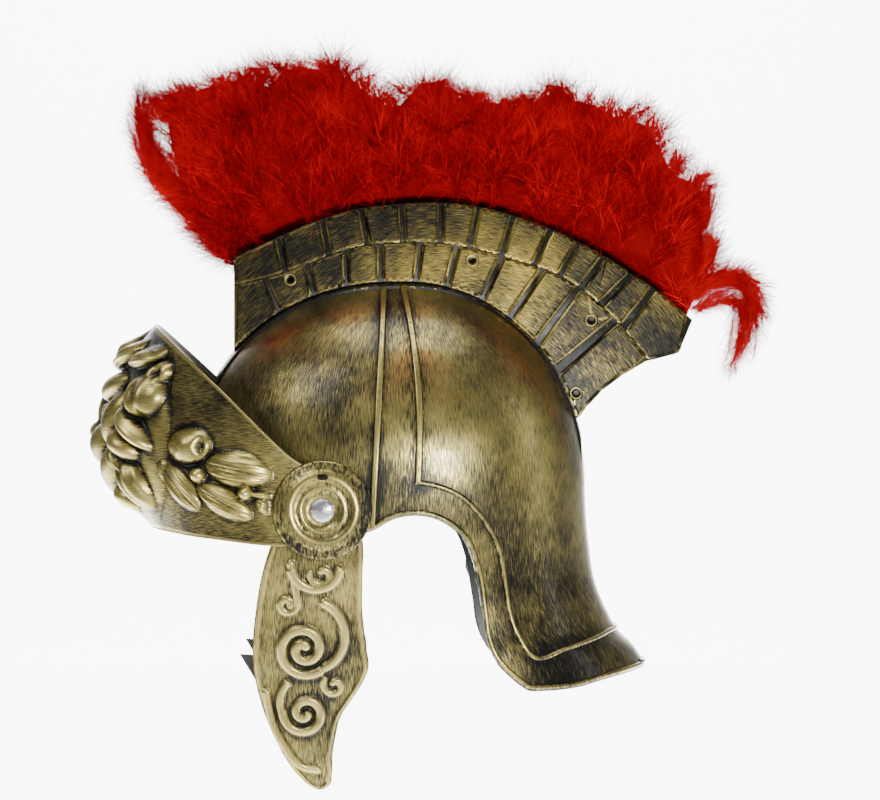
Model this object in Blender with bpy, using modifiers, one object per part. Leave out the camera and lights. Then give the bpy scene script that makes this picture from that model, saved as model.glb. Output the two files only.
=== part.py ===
"""A Roman legionary helmet in thin gold shell, with a visor, cheek guards and a feather plume.

Metres, +Z up. The helmet faces -X, the wearer's left is -Y, and the origin is the inside of the crown.
Depths are measured down from the outer top of the skull. Tables hold shares of the named sizes.
"""

from math import cos, hypot, pi, radians, sin, sqrt

import bmesh
import bpy
from mathutils import Matrix, Vector

# Walls and clearances
WALL = 0.002
GAP = 0.0003
BORE_PLAY = 0.0003

# Skull
SKULL_FRONT = 0.118
SKULL_REAR = 0.110
SKULL_HALF_WIDTH = 0.087
FRONT_CURVE = 0.095
REAR_CURVE = 0.120
SIDE_CURVE = 0.105
NECK_DEPTH = 0.2385
PLAN_POWER = 2.5
DOME_ANGLES = (12, 25, 38, 52, 66, 79)
STRIP_HALF_WIDTH = 0.027
STRIP_RISE = 0.0012
RIDGE_RADIUS = 0.0017
BEAD_RADIUS = 0.0015
BEAD_INSET = 0.0028

# Temple pivot, the same on both sides
PIVOT_X = -0.046
PIVOT_DEPTH = 0.134
SHANK_RADIUS = 0.0025
SEAT_RADIUS = 0.008
SEAT_RISE = 0.0008
SEAT_SIDES = 20
RIVET_HEAD_RADIUS = 0.0074
RIVET_HEAD_HEIGHT = 0.0030
RIVET_TAIL_RADIUS = 0.006
RIVET_TAIL_HEIGHT = 0.0015
LOBE_RADIUS = 0.026
LOBE_SIDES = 32

# Crest holder
CREST_FRONT = 0.0966
CREST_LENGTH = 0.2717
CREST_HEIGHT = 0.0500
CREST_HALF_WIDTH = 0.0195
GROOVE_WIDTH = 0.0042
ROW_GAP = 0.0024
BLOCK_RISE = 0.0014
BLOCK_BEVEL = 0.0011
EDGE_BORDER = 0.0014
HOLE_RADIUS = 0.0029

# Visor band
VISOR_REACH = 0.113
VISOR_HEIGHT = 0.120
VISOR_POWER = 2.4
VISOR_BEND_TURN = 0.9
RELIEF_RISE = 0.026
RELIEF_EDGE = 0.17
VISOR_COLUMNS = 36
VISOR_ROWS = 9

# Cheek guards
GUARD_LENGTH = 0.162
GUARD_WIDTH = 0.065
SCROLL_RADIUS = 0.0021
SCROLL_LIFT = 0.25
SPIRAL_STEPS = 8
TAB_THICKNESS = 0.0012

# Rosettes
ROSETTE_RADIUS = 0.0284
ROSETTE_RISE = 0.0054

# Plume
PLUME_HEIGHT = 0.095
PLUME_HALF_WIDTH = 0.036
LOCK_RADIUS = 0.016
LOCK_SPREAD = 1.3

# Worked out from the sizes above
APEX = WALL
PIVOT_Z = APEX - PIVOT_DEPTH
SEAT_FACE = SKULL_HALF_WIDTH + SEAT_RISE
GUARD_IN = SEAT_FACE + GAP
GUARD_OUT = GUARD_IN + WALL
VISOR_IN = GUARD_OUT + GAP
VISOR_OUT = VISOR_IN + WALL
ROSETTE_BACK = VISOR_OUT + GAP
BORE_RADIUS = SHANK_RADIUS + BORE_PLAY
FAR = 0.4
SIDES = (("left", -1), ("right", 1))

# Neck sections: depth, rear reach and half width, as shares of their sizes
NECK_SECTIONS = (
    (0.000, 1.000, 1.000),
    (0.500, 1.000, 1.000),
    (0.570, 1.004, 0.985),
    (0.660, 1.023, 0.950),
    (0.750, 1.055, 0.925),
    (0.830, 1.127, 0.935),
    (0.872, 1.180, 0.955),
    (0.900, 1.246, 0.975),
    (0.935, 1.300, 0.995),
    (1.040, 1.370, 1.040),
)
# Rim seen from the side: reach as a share of the front or rear reach, and depth as a share of the neck's
RIM = (
    (-1.20, 0.465),
    (-1.00, 0.480),
    (-0.80, 0.515),
    (-0.60, 0.570),
    (-0.39, 0.618),
    (-0.17, 0.617),
    (-0.04, 0.585),
    (0.08, 0.577),
    (0.20, 0.591),
    (0.32, 0.636),
    (0.388, 0.720),
    (0.415, 0.803),
    (0.439, 0.878),
    (0.490, 0.930),
    (0.658, 0.998),
    (0.700, 1.000),
    (0.906, 0.995),
    (1.100, 0.975),
    (1.500, 0.940),
)
# Ridge that follows the rim round the ear and along the neck guard, in the rim's shares
CONTOUR = (
    (0.080, 0.496),
    (0.174, 0.504),
    (0.294, 0.527),
    (0.393, 0.568),
    (0.465, 0.616),
    (0.512, 0.669),
    (0.538, 0.736),
    (0.559, 0.803),
    (0.601, 0.863),
    (0.700, 0.922),
    (0.860, 0.902),
    (1.040, 0.878),
)
# Band ridges over the dome: their reach at the top and at the foot, and the depth of the foot
BAND_RIDGES = (("front", -0.085, -0.150, 0.610), ("rear", 0.012, 0.080, 0.500))
BAND_BOW = 0.035

# Crest arcs: place along the crest, and heights over its foot line, as shares of the crest's sizes
CREST_ARCS = (
    (0.000, 0.66, 0.33),
    (0.105, 0.93, 0.48),
    (0.184, 1.11, 0.64),
    (0.265, 1.24, 0.79),
    (0.352, 1.30, 0.84),
    (0.446, 1.32, 0.84),
    (0.534, 1.27, 0.76),
    (0.619, 1.15, 0.63),
    (0.700, 0.99, 0.48),
    (0.766, 0.81, 0.26),
    (0.816, 0.66, 0.02),
    (0.866, 0.48, -0.28),
    (0.921, 0.29, -0.66),
    (1.000, -0.07, -1.00),
)
CREST_DATUM = -0.018
# Rear end of the crest, from the top corner down to the foot
CREST_TAIL = (
    (0.970, -0.46),
    (0.900, -0.56),
    (0.847, -0.72),
    (0.801, -0.91),
    (0.768, -1.10),
    (0.750, -1.23),
    (0.735, -1.26),
    (0.700, -1.10),
)
# Grooves between blocks: places along the crest at the groove's upper and lower end
UPPER_GROOVES = (
    (0.096, 0.112),
    (0.192, 0.206),
    (0.277, 0.290),
    (0.365, 0.368),
    (0.451, 0.449),
    (0.532, 0.514),
    (0.608, 0.582),
    (0.690, 0.654),
    (0.750, 0.711),
    (0.805, 0.757),
    (0.864, 0.801),
    (0.914, 0.849),
)
LOWER_GROOVES = (
    (0.068, 0.098),
    (0.160, 0.173),
    (0.243, 0.245),
    (0.319, 0.319),
    (0.406, 0.396),
    (0.486, 0.464),
    (0.582, 0.540),
    (0.672, 0.602),
    (0.750, 0.661),
    (0.830, 0.704),
)
# Where the last groove of each row would stand, past the end of the crest
UPPER_END = (0.990, 0.930)
LOWER_END = (0.892, 0.762)
# Places of the corners along the crest's foot
CREST_FOOT_STATIONS = (0.66, 0.50, 0.35, 0.20, 0.10, 0.00)
# Holes: place along the crest and height over its foot line
CREST_HOLES = ((0.123, 0.40), (0.519, 0.63), (0.778, -0.08), (0.745, -0.94))

# Visor sections from the lobe to the front: how far forward, then the lower and upper edge from the pivot
VISOR_EDGES = (
    (0.00, -0.175, 0.200),
    (0.14, -0.175, 0.228),
    (0.31, -0.170, 0.350),
    (0.57, -0.145, 0.565),
    (0.77, -0.125, 0.722),
    (0.90, -0.108, 0.822),
    (1.00, -0.098, 0.900),
)
# How far the band bows forward between its lower and upper edge
VISOR_BOW = ((0.0, 0.90), (0.25, 0.97), (0.5, 1.0), (0.75, 0.965), (1.0, 0.885))
# Relief lobes: place round the band from the front, height over the pivot, half length and half width
# as shares of the visor's height, tilt in degrees, and rise as a share of the relief's
LION_MASK = ("mask", 0.00, 0.24, 0.44, 0.40, 90, 0.42)
LION_LOBES = (
    ("brow", 0.10, 0.57, 0.17, 0.12, 160, 0.56),
    ("cheek", 0.17, 0.30, 0.15, 0.12, 110, 0.40),
    ("muzzle", 0.07, 0.29, 0.14, 0.11, 80, 0.58),
    ("nose", 0.00, 0.42, 0.13, 0.08, 90, 0.48),
    ("jaw", 0.05, 0.12, 0.13, 0.11, 120, 0.50),
    ("beard", 0.05, -0.02, 0.10, 0.07, 60, 0.30),
    ("forelock", 0.09, 0.74, 0.14, 0.09, 60, 0.42),
    ("mane_upper", 0.29, 0.60, 0.20, 0.08, 115, 0.34),
    ("mane_middle", 0.34, 0.36, 0.19, 0.07, 100, 0.38),
    ("mane_lower", 0.28, 0.08, 0.20, 0.08, 70, 0.34),
    ("mane_tuft", 0.40, 0.14, 0.13, 0.06, 60, 0.30),
    ("ear", 0.22, 0.75, 0.08, 0.08, 0, 0.26),
)
LAUREL_LOBES = (
    ("bud", 0.66, 0.305, 0.125, 0.09, 0, 0.34),
    ("leaf_upper", 0.985, 0.195, 0.165, 0.085, -10, 0.24),
    ("leaf_lower", 0.885, 0.045, 0.155, 0.075, -27, 0.25),
    ("leaf_front", 0.60, 0.12, 0.15, 0.075, -50, 0.27),
    ("berry_front", 0.72, 0.155, 0.045, 0.045, 0, 0.20),
    ("berry_rear", 0.985, 0.075, 0.045, 0.045, 0, 0.20),
    ("leaf_tip", 1.085, 0.10, 0.07, 0.035, -35, 0.12),
)

# Cheek guard sections: depth under the pivot as a share of its length, then the front and rear edge
# as shares of its width
GUARD_SECTIONS = (
    (0.000, -0.30, 0.30),
    (0.130, -0.46, 0.36),
    (0.228, -0.535, 0.354),
    (0.360, -0.592, 0.354),
    (0.480, -0.620, 0.385),
    (0.570, -0.612, 0.406),
    (0.617, -0.595, 0.360),
    (0.679, -0.557, 0.262),
    (0.735, -0.515, 0.170),
    (0.815, -0.430, 0.115),
    (0.880, -0.350, 0.090),
    (0.955, -0.215, 0.082),
    (0.990, -0.120, 0.060),
)
# How the guard curls in towards the jaw: distance from the pivot as a share of its length, then inset
GUARD_CURL = (
    (0.000, 0.000),
    (0.175, 0.000),
    (0.370, 0.060),
    (0.560, 0.107),
    (0.740, 0.142),
    (1.020, 0.173),
    (1.200, 0.190),
)
# Scrolls on the guard: centre aft of the pivot and under it, start and end radius as shares of the
# guard's length, start and end angle, and girth
SCROLL_SPIRALS = (
    ("crown_arc", -0.020, 0.190, 0.092, 0.070, 200, 340, 1.0),
    ("big_spiral", -0.071, 0.465, 0.150, 0.040, -60, -420, 1.15),
    ("outer_comma", -0.045, 0.440, 0.150, 0.105, 70, -75, 1.03),
    ("front_curl", -0.138, 0.318, 0.052, 0.022, 60, -250, 0.9),
    ("rear_curl", 0.040, 0.612, 0.050, 0.020, 120, 420, 0.87),
    ("low_spiral", -0.068, 0.697, 0.115, 0.030, 100, 420, 1.1),
    ("low_comma", -0.075, 0.700, 0.165, 0.130, 150, 300, 0.93),
)
SCROLL_STEMS = (
    ("stem", ((-0.120, 0.185), (-0.100, 0.255), (-0.096, 0.330)), 0.84),
    ("border", ((-0.205, 0.680), (-0.152, 0.790), (-0.095, 0.870), (-0.025, 0.922), (0.014, 0.876)), 0.8),
)
# Strap tab: distance aft of the pivot and under it, as shares of the guard's length
TAB_CORNERS = ((-0.296, 0.516), (-0.100, 0.530), (-0.100, 0.640), (-0.235, 0.618))

# Rosette rings: radius and rise, as shares of the rosette's
ROSETTE_RINGS = (
    (1.000, 0.22),
    (0.955, 0.48),
    (0.860, 0.56),
    (0.800, 0.92),
    (0.740, 0.68),
    (0.680, 1.00),
    (0.580, 0.62),
    (0.450, 0.80),
    (0.300, 0.50),
)

# Plume sections, fanned along the crest: place along it, then how far aft and how high the tip of the
# down stands from there, in plume heights, and the half width as a share
PLUME_SECTIONS = (
    (0.000, -0.24, 0.26, 0.55),
    (0.015, -0.40, 0.50, 0.75),
    (0.040, -0.60, 0.88, 0.85),
    (0.090, -0.59, 0.95, 0.95),
    (0.150, -0.41, 0.99, 1.00),
    (0.220, -0.24, 1.00, 1.00),
    (0.270, -0.12, 0.97, 1.00),
    (0.320, -0.08, 0.73, 0.95),
    (0.420, -0.03, 0.79, 1.00),
    (0.520, 0.00, 0.75, 1.00),
    (0.620, 0.00, 0.76, 1.00),
    (0.700, 0.03, 0.94, 1.00),
    (0.780, 0.10, 0.97, 1.00),
    (0.860, 0.14, 1.00, 0.95),
    (0.920, 0.14, 0.84, 0.90),
    (0.970, 0.15, 0.74, 0.80),
    (0.995, 0.12, 0.40, 0.60),
)
# One section from root to tip: share of the half width and share of the way to the tip
PLUME_SHAPE = ((0.55, 0.00), (0.80, 0.36), (0.66, 0.72), (0.00, 0.94))
# Girth of a lock from root to tip
LOCK_TAPER = (0.80, 1.00, 1.00, 0.45)
FEATHER_TAPER = (1.0, 1.0, 1.0, 0.8, 0.6, 0.4)
# Locks of down: place along the crest, start and end on the section's line, how far aft the end
# sweeps in plume heights, the side lean and the girth
PLUME_LOCKS = (
    ("brow_low", 0.02, 0.20, 0.86, -0.02, 0.4, 0.65),
    ("brow_left", 0.04, 0.40, 0.97, -0.02, -0.6, 0.80),
    ("brow_right", 0.07, 0.40, 0.97, 0.02, 0.6, 0.90),
    ("peak_left", 0.12, 0.45, 0.98, -0.04, -0.6, 0.95),
    ("peak_right", 0.16, 0.45, 0.97, 0.04, 0.6, 0.90),
    ("tall_left", 0.21, 0.45, 0.98, -0.02, -0.5, 0.90),
    ("tall_right", 0.26, 0.45, 0.98, 0.04, 0.5, 0.85),
    ("dip_left", 0.33, 0.30, 0.94, 0.02, -0.6, 0.95),
    ("dip_right", 0.39, 0.30, 0.95, 0.04, 0.6, 0.95),
    ("middle_left", 0.46, 0.30, 0.94, 0.04, -0.6, 0.95),
    ("middle_right", 0.53, 0.30, 0.94, 0.04, 0.6, 0.95),
    ("back_left", 0.60, 0.30, 0.94, 0.04, -0.6, 0.95),
    ("back_right", 0.67, 0.40, 0.96, 0.02, 0.6, 0.90),
    ("crown_left", 0.74, 0.45, 0.96, 0.02, -0.6, 0.95),
    ("crown_right", 0.80, 0.45, 0.96, 0.06, 0.6, 0.90),
    ("heel_high", 0.87, 0.45, 0.95, 0.08, -0.5, 0.90),
    ("heel_middle", 0.93, 0.40, 0.92, 0.10, 0.5, 0.80),
    ("heel_low", 0.97, 0.30, 0.80, 0.06, -0.4, 0.75),
)
# Loose feathers: place along the crest, start on the section's line, bend and tip from there, and girth
PLUME_FEATHERS = (
    ("front_feather", 0.01, 0.30, -0.42, 0.10, -0.50, 0.98, 0.34),
    ("tail_feather", 0.98, 0.36, 0.60, 0.10, 0.24, -0.62, 0.50),
)


def share_of(table, key, column):
    """The value in a column of a table, between its rows, for a key in the first column."""
    key = min(max(key, table[0][0]), table[-1][0])
    for low, high in zip(table, table[1:]):
        if key <= high[0]:
            part = (key - low[0]) / (high[0] - low[0])
            return low[column] + (high[column] - low[column]) * part
    return table[-1][column]


def quarter(z, centre, height):
    """Share of its full reach that an elliptical quarter has at a height."""
    over = max(z - centre, 0.0) / height
    return sqrt(max(1.0 - over * over, 0.0))


def reach_at(z, offset, rear):
    """How far the skull reaches to the front or rear at a height."""
    curve = REAR_CURVE if rear else FRONT_CURVE
    round_part = quarter(z, APEX - curve, curve + offset)
    if not rear:
        return (SKULL_FRONT + offset) * round_part
    share = share_of(NECK_SECTIONS, (APEX - z) / NECK_DEPTH, 1)
    return (SKULL_REAR * share + offset) * round_part


def half_width_at(z, offset):
    share = share_of(NECK_SECTIONS, (APEX - z) / NECK_DEPTH, 2)
    return (SKULL_HALF_WIDTH * share + offset) * quarter(z, APEX - SIDE_CURVE, SIDE_CURVE + offset)


def skull_side(x, z, offset=0.0):
    """Distance of the skull's face from the symmetry plane at a place in the side view."""
    reach = reach_at(z, offset, x > 0)
    inside = 1.0 - min(abs(x) / max(reach, 1e-6), 1.0) ** PLAN_POWER
    return half_width_at(z, offset) * inside ** (1.0 / PLAN_POWER)


def on_skull(x, z, lift, side):
    """Point on one side of the skull, lifted along its normal."""
    step = 0.0005
    slope_x = (skull_side(x + step, z) - skull_side(x - step, z)) / (2 * step)
    slope_z = (skull_side(x, z + step) - skull_side(x, z - step)) / (2 * step)
    normal = Vector((-slope_x, side, -slope_z)).normalized()
    return Vector((x, side * skull_side(x, z), z)) + normal * lift


def side_place(reach_share, depth_share):
    """Side view place from a share of the front or rear reach and a share of the neck's depth."""
    x = reach_share * (SKULL_REAR if reach_share > 0 else SKULL_FRONT)
    return x, APEX - depth_share * NECK_DEPTH


def make_material(name, colour, roughness, metallic):
    material = bpy.data.materials.new(name)
    material.use_nodes = True
    shader = material.node_tree.nodes["Principled BSDF"]
    shader.inputs["Base Color"].default_value = (*colour, 1.0)
    shader.inputs["Roughness"].default_value = roughness
    shader.inputs["Metallic"].default_value = metallic
    return material


def new_collection(name, hidden):
    collection = bpy.data.collections.new(name)
    bpy.context.scene.collection.children.link(collection)
    collection.hide_render = hidden
    return collection


def add_object(name, mesh, collection, material=None):
    obj = bpy.data.objects.new(name, mesh)
    collection.objects.link(obj)
    if material:
        mesh.materials.append(material)
    return obj


def finish_mesh(name, bm):
    """Turns a bmesh into a mesh with its faces pointing out."""
    bmesh.ops.remove_doubles(bm, verts=bm.verts, dist=1e-6)
    bmesh.ops.recalc_face_normals(bm, faces=bm.faces)
    mesh = bpy.data.meshes.new(name)
    bm.to_mesh(mesh)
    bm.free()
    return mesh


def add_cutter(name, mesh):
    obj = add_object(name, mesh, cutters)
    obj.hide_render = True
    obj.display_type = "WIRE"
    return obj


def combine(obj, tool, operation, crosses_itself=False):
    """Adds an exact Boolean with a helper object."""
    modifier = obj.modifiers.new(tool.name, "BOOLEAN")
    modifier.operation = operation
    modifier.solver = "EXACT"
    modifier.use_self = crosses_itself
    modifier.object = tool


def loft(name, rings, ends=True):
    """Closed body through rings of equal count, each end closed by one face or a point."""
    bm = bmesh.new()
    levels = [[bm.verts.new(point) for point in ring] for ring in rings]
    for low, high in zip(levels, levels[1:]):
        count = max(len(low), len(high))
        for index in range(count):
            after = (index + 1) % count
            corners = [low[index % len(low)], low[after % len(low)]]
            corners += [high[after % len(high)], high[index % len(high)]]
            bm.faces.new(list(dict.fromkeys(corners)))
    for level in (levels[0], levels[-1]):
        if ends and len(level) > 2:
            bm.faces.new(level)
    return finish_mesh(name, bm)


def plate_between(name, outer, inner):
    """Closed body between two grids of points of the same size."""
    bm = bmesh.new()
    front = [[bm.verts.new(point) for point in row] for row in outer]
    back = [[bm.verts.new(point) for point in row] for row in inner]
    rows, columns = len(outer), len(outer[0])
    for row in range(rows - 1):
        for column in range(columns - 1):
            for grid in (front, back):
                upper, lower = grid[row], grid[row + 1]
                bm.faces.new((upper[column], upper[column + 1], lower[column + 1], lower[column]))
    for row in range(rows - 1):
        for column in (0, columns - 1):
            outer, inner = front[row], back[row]
            bm.faces.new((outer[column], front[row + 1][column], back[row + 1][column], inner[column]))
    for column in range(columns - 1):
        for row in (0, rows - 1):
            outer, inner = front[row], back[row]
            bm.faces.new((outer[column], outer[column + 1], inner[column + 1], inner[column]))
    return finish_mesh(name, bm)


def tube(name, points, radius, sides_level=1, tapers=None):
    """Mesh of a round bar along points, from a curve object with a bevel."""
    curve = bpy.data.curves.new(name, "CURVE")
    curve.dimensions = "3D"
    curve.bevel_depth = radius
    curve.bevel_resolution = sides_level
    curve.use_fill_caps = True
    spline = curve.splines.new("POLY")
    spline.points.add(len(points) - 1)
    for index, (place, point) in enumerate(zip(spline.points, points)):
        place.co = (*point, 1.0)
        place.radius = tapers[index] if tapers else 1.0
    guide = add_object(name, curve, cutters)
    graph = bpy.context.evaluated_depsgraph_get()
    mesh = bpy.data.meshes.new_from_object(guide.evaluated_get(graph))
    bpy.data.objects.remove(guide)
    bm = bmesh.new()
    bm.from_mesh(mesh)
    bpy.data.meshes.remove(mesh)
    return finish_mesh(name, bm)


def joined(name, meshes):
    """One mesh that holds several bodies."""
    bm = bmesh.new()
    for mesh in meshes:
        bm.from_mesh(mesh)
        bpy.data.meshes.remove(mesh)
    result = bpy.data.meshes.new(name)
    bm.to_mesh(result)
    bm.free()
    return result


def box_mesh(name, low, high):
    bm = bmesh.new()
    bmesh.ops.create_cube(bm, size=1.0)
    for vertex in bm.verts:
        for axis in range(3):
            vertex.co[axis] = high[axis] if vertex.co[axis] > 0 else low[axis]
    return finish_mesh(name, bm)


def round_bar(name, x, z, radius, start, end, sides):
    """Cylinder along Y between two distances from the symmetry plane."""
    bm = bmesh.new()
    turn = Matrix.Translation((x, (start + end) / 2, z)) @ Matrix.Rotation(pi / 2, 4, "X")
    bmesh.ops.create_cone(
        bm, cap_ends=True, segments=sides, radius1=radius, radius2=radius, depth=abs(end - start), matrix=turn
    )
    return finish_mesh(name, bm)


def side_prism(name, outline, half_width):
    """Flat outline in the side view, a filled curve extruded along Y."""
    curve = bpy.data.curves.new(name, "CURVE")
    curve.dimensions = "2D"
    curve.fill_mode = "BOTH"
    curve.extrude = half_width
    spline = curve.splines.new("POLY")
    spline.points.add(len(outline) - 1)
    for place, (x, z) in zip(spline.points, outline):
        place.co = (x, z, 0.0, 1.0)
    spline.use_cyclic_u = True
    guide = add_object(name, curve, cutters)
    graph = bpy.context.evaluated_depsgraph_get()
    mesh = bpy.data.meshes.new_from_object(guide.evaluated_get(graph))
    bpy.data.objects.remove(guide)
    bm = bmesh.new()
    bm.from_mesh(mesh)
    bpy.data.meshes.remove(mesh)
    bmesh.ops.rotate(bm, verts=bm.verts, cent=(0, 0, 0), matrix=Matrix.Rotation(pi / 2, 3, "X"))
    return finish_mesh(name, bm)


def turned(name, profile, side, steps, collection, material=None):
    """Turned body on the temple axis, its profile given as radius and distance from the symmetry plane."""
    closed = profile[0][0] > 0
    mesh = bpy.data.meshes.new(name)
    points = [(radius, 0.0, out) for radius, out in profile]
    edges = [(index, index + 1) for index in range(len(points) - 1)]
    if closed:
        edges.append((len(points) - 1, 0))
    mesh.from_pydata(points, edges, [])
    obj = add_object(name, mesh, collection, material)
    obj.location = (PIVOT_X, 0.0, PIVOT_Z)
    obj.rotation_euler = (-side * pi / 2, 0.0, 0.0)
    screw = obj.modifiers.new("turn", "SCREW")
    screw.axis = "Z"
    screw.steps = screw.render_steps = steps
    screw.use_merge_vertices = True
    screw.merge_threshold = 1e-5
    screw.use_smooth_shade = True
    return obj


def skull_form(name, offset, columns=28):
    """Solid of the whole skull, grown or shrunk by an offset, with a flat foot well below the rim."""
    side_centre = APEX - SIDE_CURVE
    heights = [side_centre + (SIDE_CURVE + offset) * cos(radians(angle)) for angle in DOME_ANGLES]
    heights.append(side_centre)
    heights += [APEX - row[0] * NECK_DEPTH for row in NECK_SECTIONS[1:]]
    heights.append(heights[-1] - (WALL if offset >= 0 else 3 * WALL))
    rings = [[(0.0, 0.0, APEX + offset)]]
    for z in heights:
        ring = []
        for column in range(columns):
            angle = 2 * pi * column / columns
            along, across = cos(angle), sin(angle)
            reach = reach_at(z, offset, along > 0)
            x = reach * abs(along) ** (2 / PLAN_POWER) * (1 if along > 0 else -1)
            y = half_width_at(z, offset) * abs(across) ** (2 / PLAN_POWER) * (1 if across > 0 else -1)
            ring.append((x, y, z))
        rings.append(ring)
    return loft(name, rings)


def rim_outline():
    """Side view outline of what the rim leaves of the skull."""
    outline = [side_place(*row) for row in RIM]
    outline.append((outline[-1][0], FAR))
    outline.append((outline[0][0], FAR))
    return outline


def rim_bead_points(side):
    """Points a little above the rim, on the skull's face, from the ear to the back of the neck guard."""
    places = [Vector(side_place(*row)) for row in RIM[4:]]
    points = []
    for before, place, after in zip(places, places[1:], places[2:]):
        along = (after - before).normalized()
        inward = Vector((-along.y, along.x)) * BEAD_INSET
        spot = place + inward
        if spot.x > reach_at(spot.y, 0, True) * 0.999:
            break
        points.append(on_skull(spot.x, spot.y, 0.0, side))
    return points


def band_ridge_points(top, foot, foot_depth, side):
    """Points of a ridge that runs from the crest's strip down one side."""
    side_centre = APEX - SIDE_CURVE
    first = 18 if top < 0 else 19
    angles = [radians(first + (90 - first) * step / 6) for step in range(7)]
    heights = [side_centre + SIDE_CURVE * cos(angle) for angle in angles]
    heights += [side_centre + (APEX - foot_depth * NECK_DEPTH - side_centre) * share for share in (0.5, 1.0)]
    low = heights[-1]
    points = []
    for z in heights:
        part = (heights[0] - z) / (heights[0] - low)
        share = top + (foot - top) * part + (BAND_BOW * sin(pi * part) if foot > 0 else 0.0)
        x = share * (SKULL_REAR if share > 0 else SKULL_FRONT)
        points.append(on_skull(x, z, 0.0, side))
    return points


def build_skull(material):
    """Thin shell with a raised strip under the crest, ridges and a rolled rim."""
    skull = add_object("skull", skull_form("skull", 0.0), helmet, material)
    strip = add_cutter("crest_strip", skull_form("crest_strip", STRIP_RISE))
    strip_low = (-FAR, -STRIP_HALF_WIDTH, APEX - FRONT_CURVE)
    strip_high = (FAR, STRIP_HALF_WIDTH, FAR)
    combine(strip, add_cutter("strip_width", box_mesh("strip_width", strip_low, strip_high)), "INTERSECT")
    combine(skull, strip, "UNION")
    for name, side in SIDES:
        ridges = []
        for ridge, top, foot, foot_depth in BAND_RIDGES:
            points = band_ridge_points(top, foot, foot_depth, side)
            ridges.append((ridge + "_band_" + name, points, RIDGE_RADIUS))
        contour = [on_skull(*side_place(*row), 0.0, side) for row in CONTOUR]
        ridges.append(("contour_" + name, contour, RIDGE_RADIUS))
        ridges.append(("bead_" + name, rim_bead_points(side), BEAD_RADIUS))
        for ridge, points, radius in ridges:
            combine(skull, add_cutter(ridge, tube(ridge, points, radius, 0)), "UNION")
    combine(skull, add_cutter("skull_hollow", skull_form("skull_hollow", -WALL)), "DIFFERENCE")
    combine(skull, add_cutter("rim_cut", side_prism("rim_cut", rim_outline(), FAR)), "INTERSECT")
    seat_back = skull_side(PIVOT_X - SEAT_RADIUS, PIVOT_Z) - WALL - GAP
    for name, side in SIDES:
        ends = (side * seat_back, side * SEAT_FACE)
        seat = round_bar("seat_" + name, PIVOT_X, PIVOT_Z, SEAT_RADIUS, *ends, SEAT_SIDES)
        combine(skull, add_cutter("seat_" + name, seat), "UNION")
    bore = round_bar("skull_bore", PIVOT_X, PIVOT_Z, BORE_RADIUS, -FAR, FAR, 16)
    combine(skull, add_cutter("skull_bore", bore), "DIFFERENCE")
    return seat_back


def crest_place(along, height):
    """Side view place on the crest from its shares."""
    return -CREST_FRONT + along * CREST_LENGTH, CREST_DATUM + height * CREST_HEIGHT


def crest_top(along):
    return crest_place(along, share_of(CREST_ARCS, along, 1))


def crest_middle(along):
    return crest_place(along, share_of(CREST_ARCS, along, 2))


def crest_foot(along):
    """Place on the skull's face under the crest's side, a little below where the crest is cut."""
    x = -CREST_FRONT + along * CREST_LENGTH
    low, high = APEX - REAR_CURVE, APEX
    for _ in range(30):
        middle = (low + high) / 2
        if skull_side(x, middle) > CREST_HALF_WIDTH:
            low = middle
        else:
            high = middle
    return x, low - 2 * WALL


def crest_outline():
    outline = [crest_top(row[0]) for row in CREST_ARCS]
    outline += [crest_place(*row) for row in CREST_TAIL]
    outline += [crest_foot(along) for along in CREST_FOOT_STATIONS]
    return outline


def inset_outline(outline, inset):
    """Outline moved in by a distance at every corner."""
    moved = []
    count = len(outline)
    for index in range(count):
        before, here, after = (Vector(outline[(index + shift) % count]) for shift in (-1, 0, 1))
        first = (here - before).normalized()
        second = (after - here).normalized()
        inward = Vector((first.y, -first.x)) + Vector((second.y, -second.x))
        inward.normalize()
        half = max(inward.dot(Vector((first.y, -first.x))), 0.4)
        moved.append(tuple(here + inward * inset / half))
    return moved


def block_mesh(name, corners, side):
    """Raised block on the crest's side, from four side view corners, with sloping edges."""
    bm = bmesh.new()
    bmesh.ops.create_cube(bm, size=1.0)
    centre = sum((Vector(corner) for corner in corners), Vector((0.0, 0.0))) / 4
    for vertex in bm.verts:
        index = (0 if vertex.co.z > 0 else 2) + (0 if (vertex.co.x < 0) == (vertex.co.z > 0) else 1)
        raised = vertex.co.y > 0
        corner = Vector(corners[index])
        if raised:
            corner += (centre - corner).normalized() * BLOCK_BEVEL * sqrt(2)
        out = CREST_HALF_WIDTH + (BLOCK_RISE if raised else -WALL / 2)
        vertex.co = (corner.x, side * out, corner.y)
    return finish_mesh(name, bm)


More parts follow.
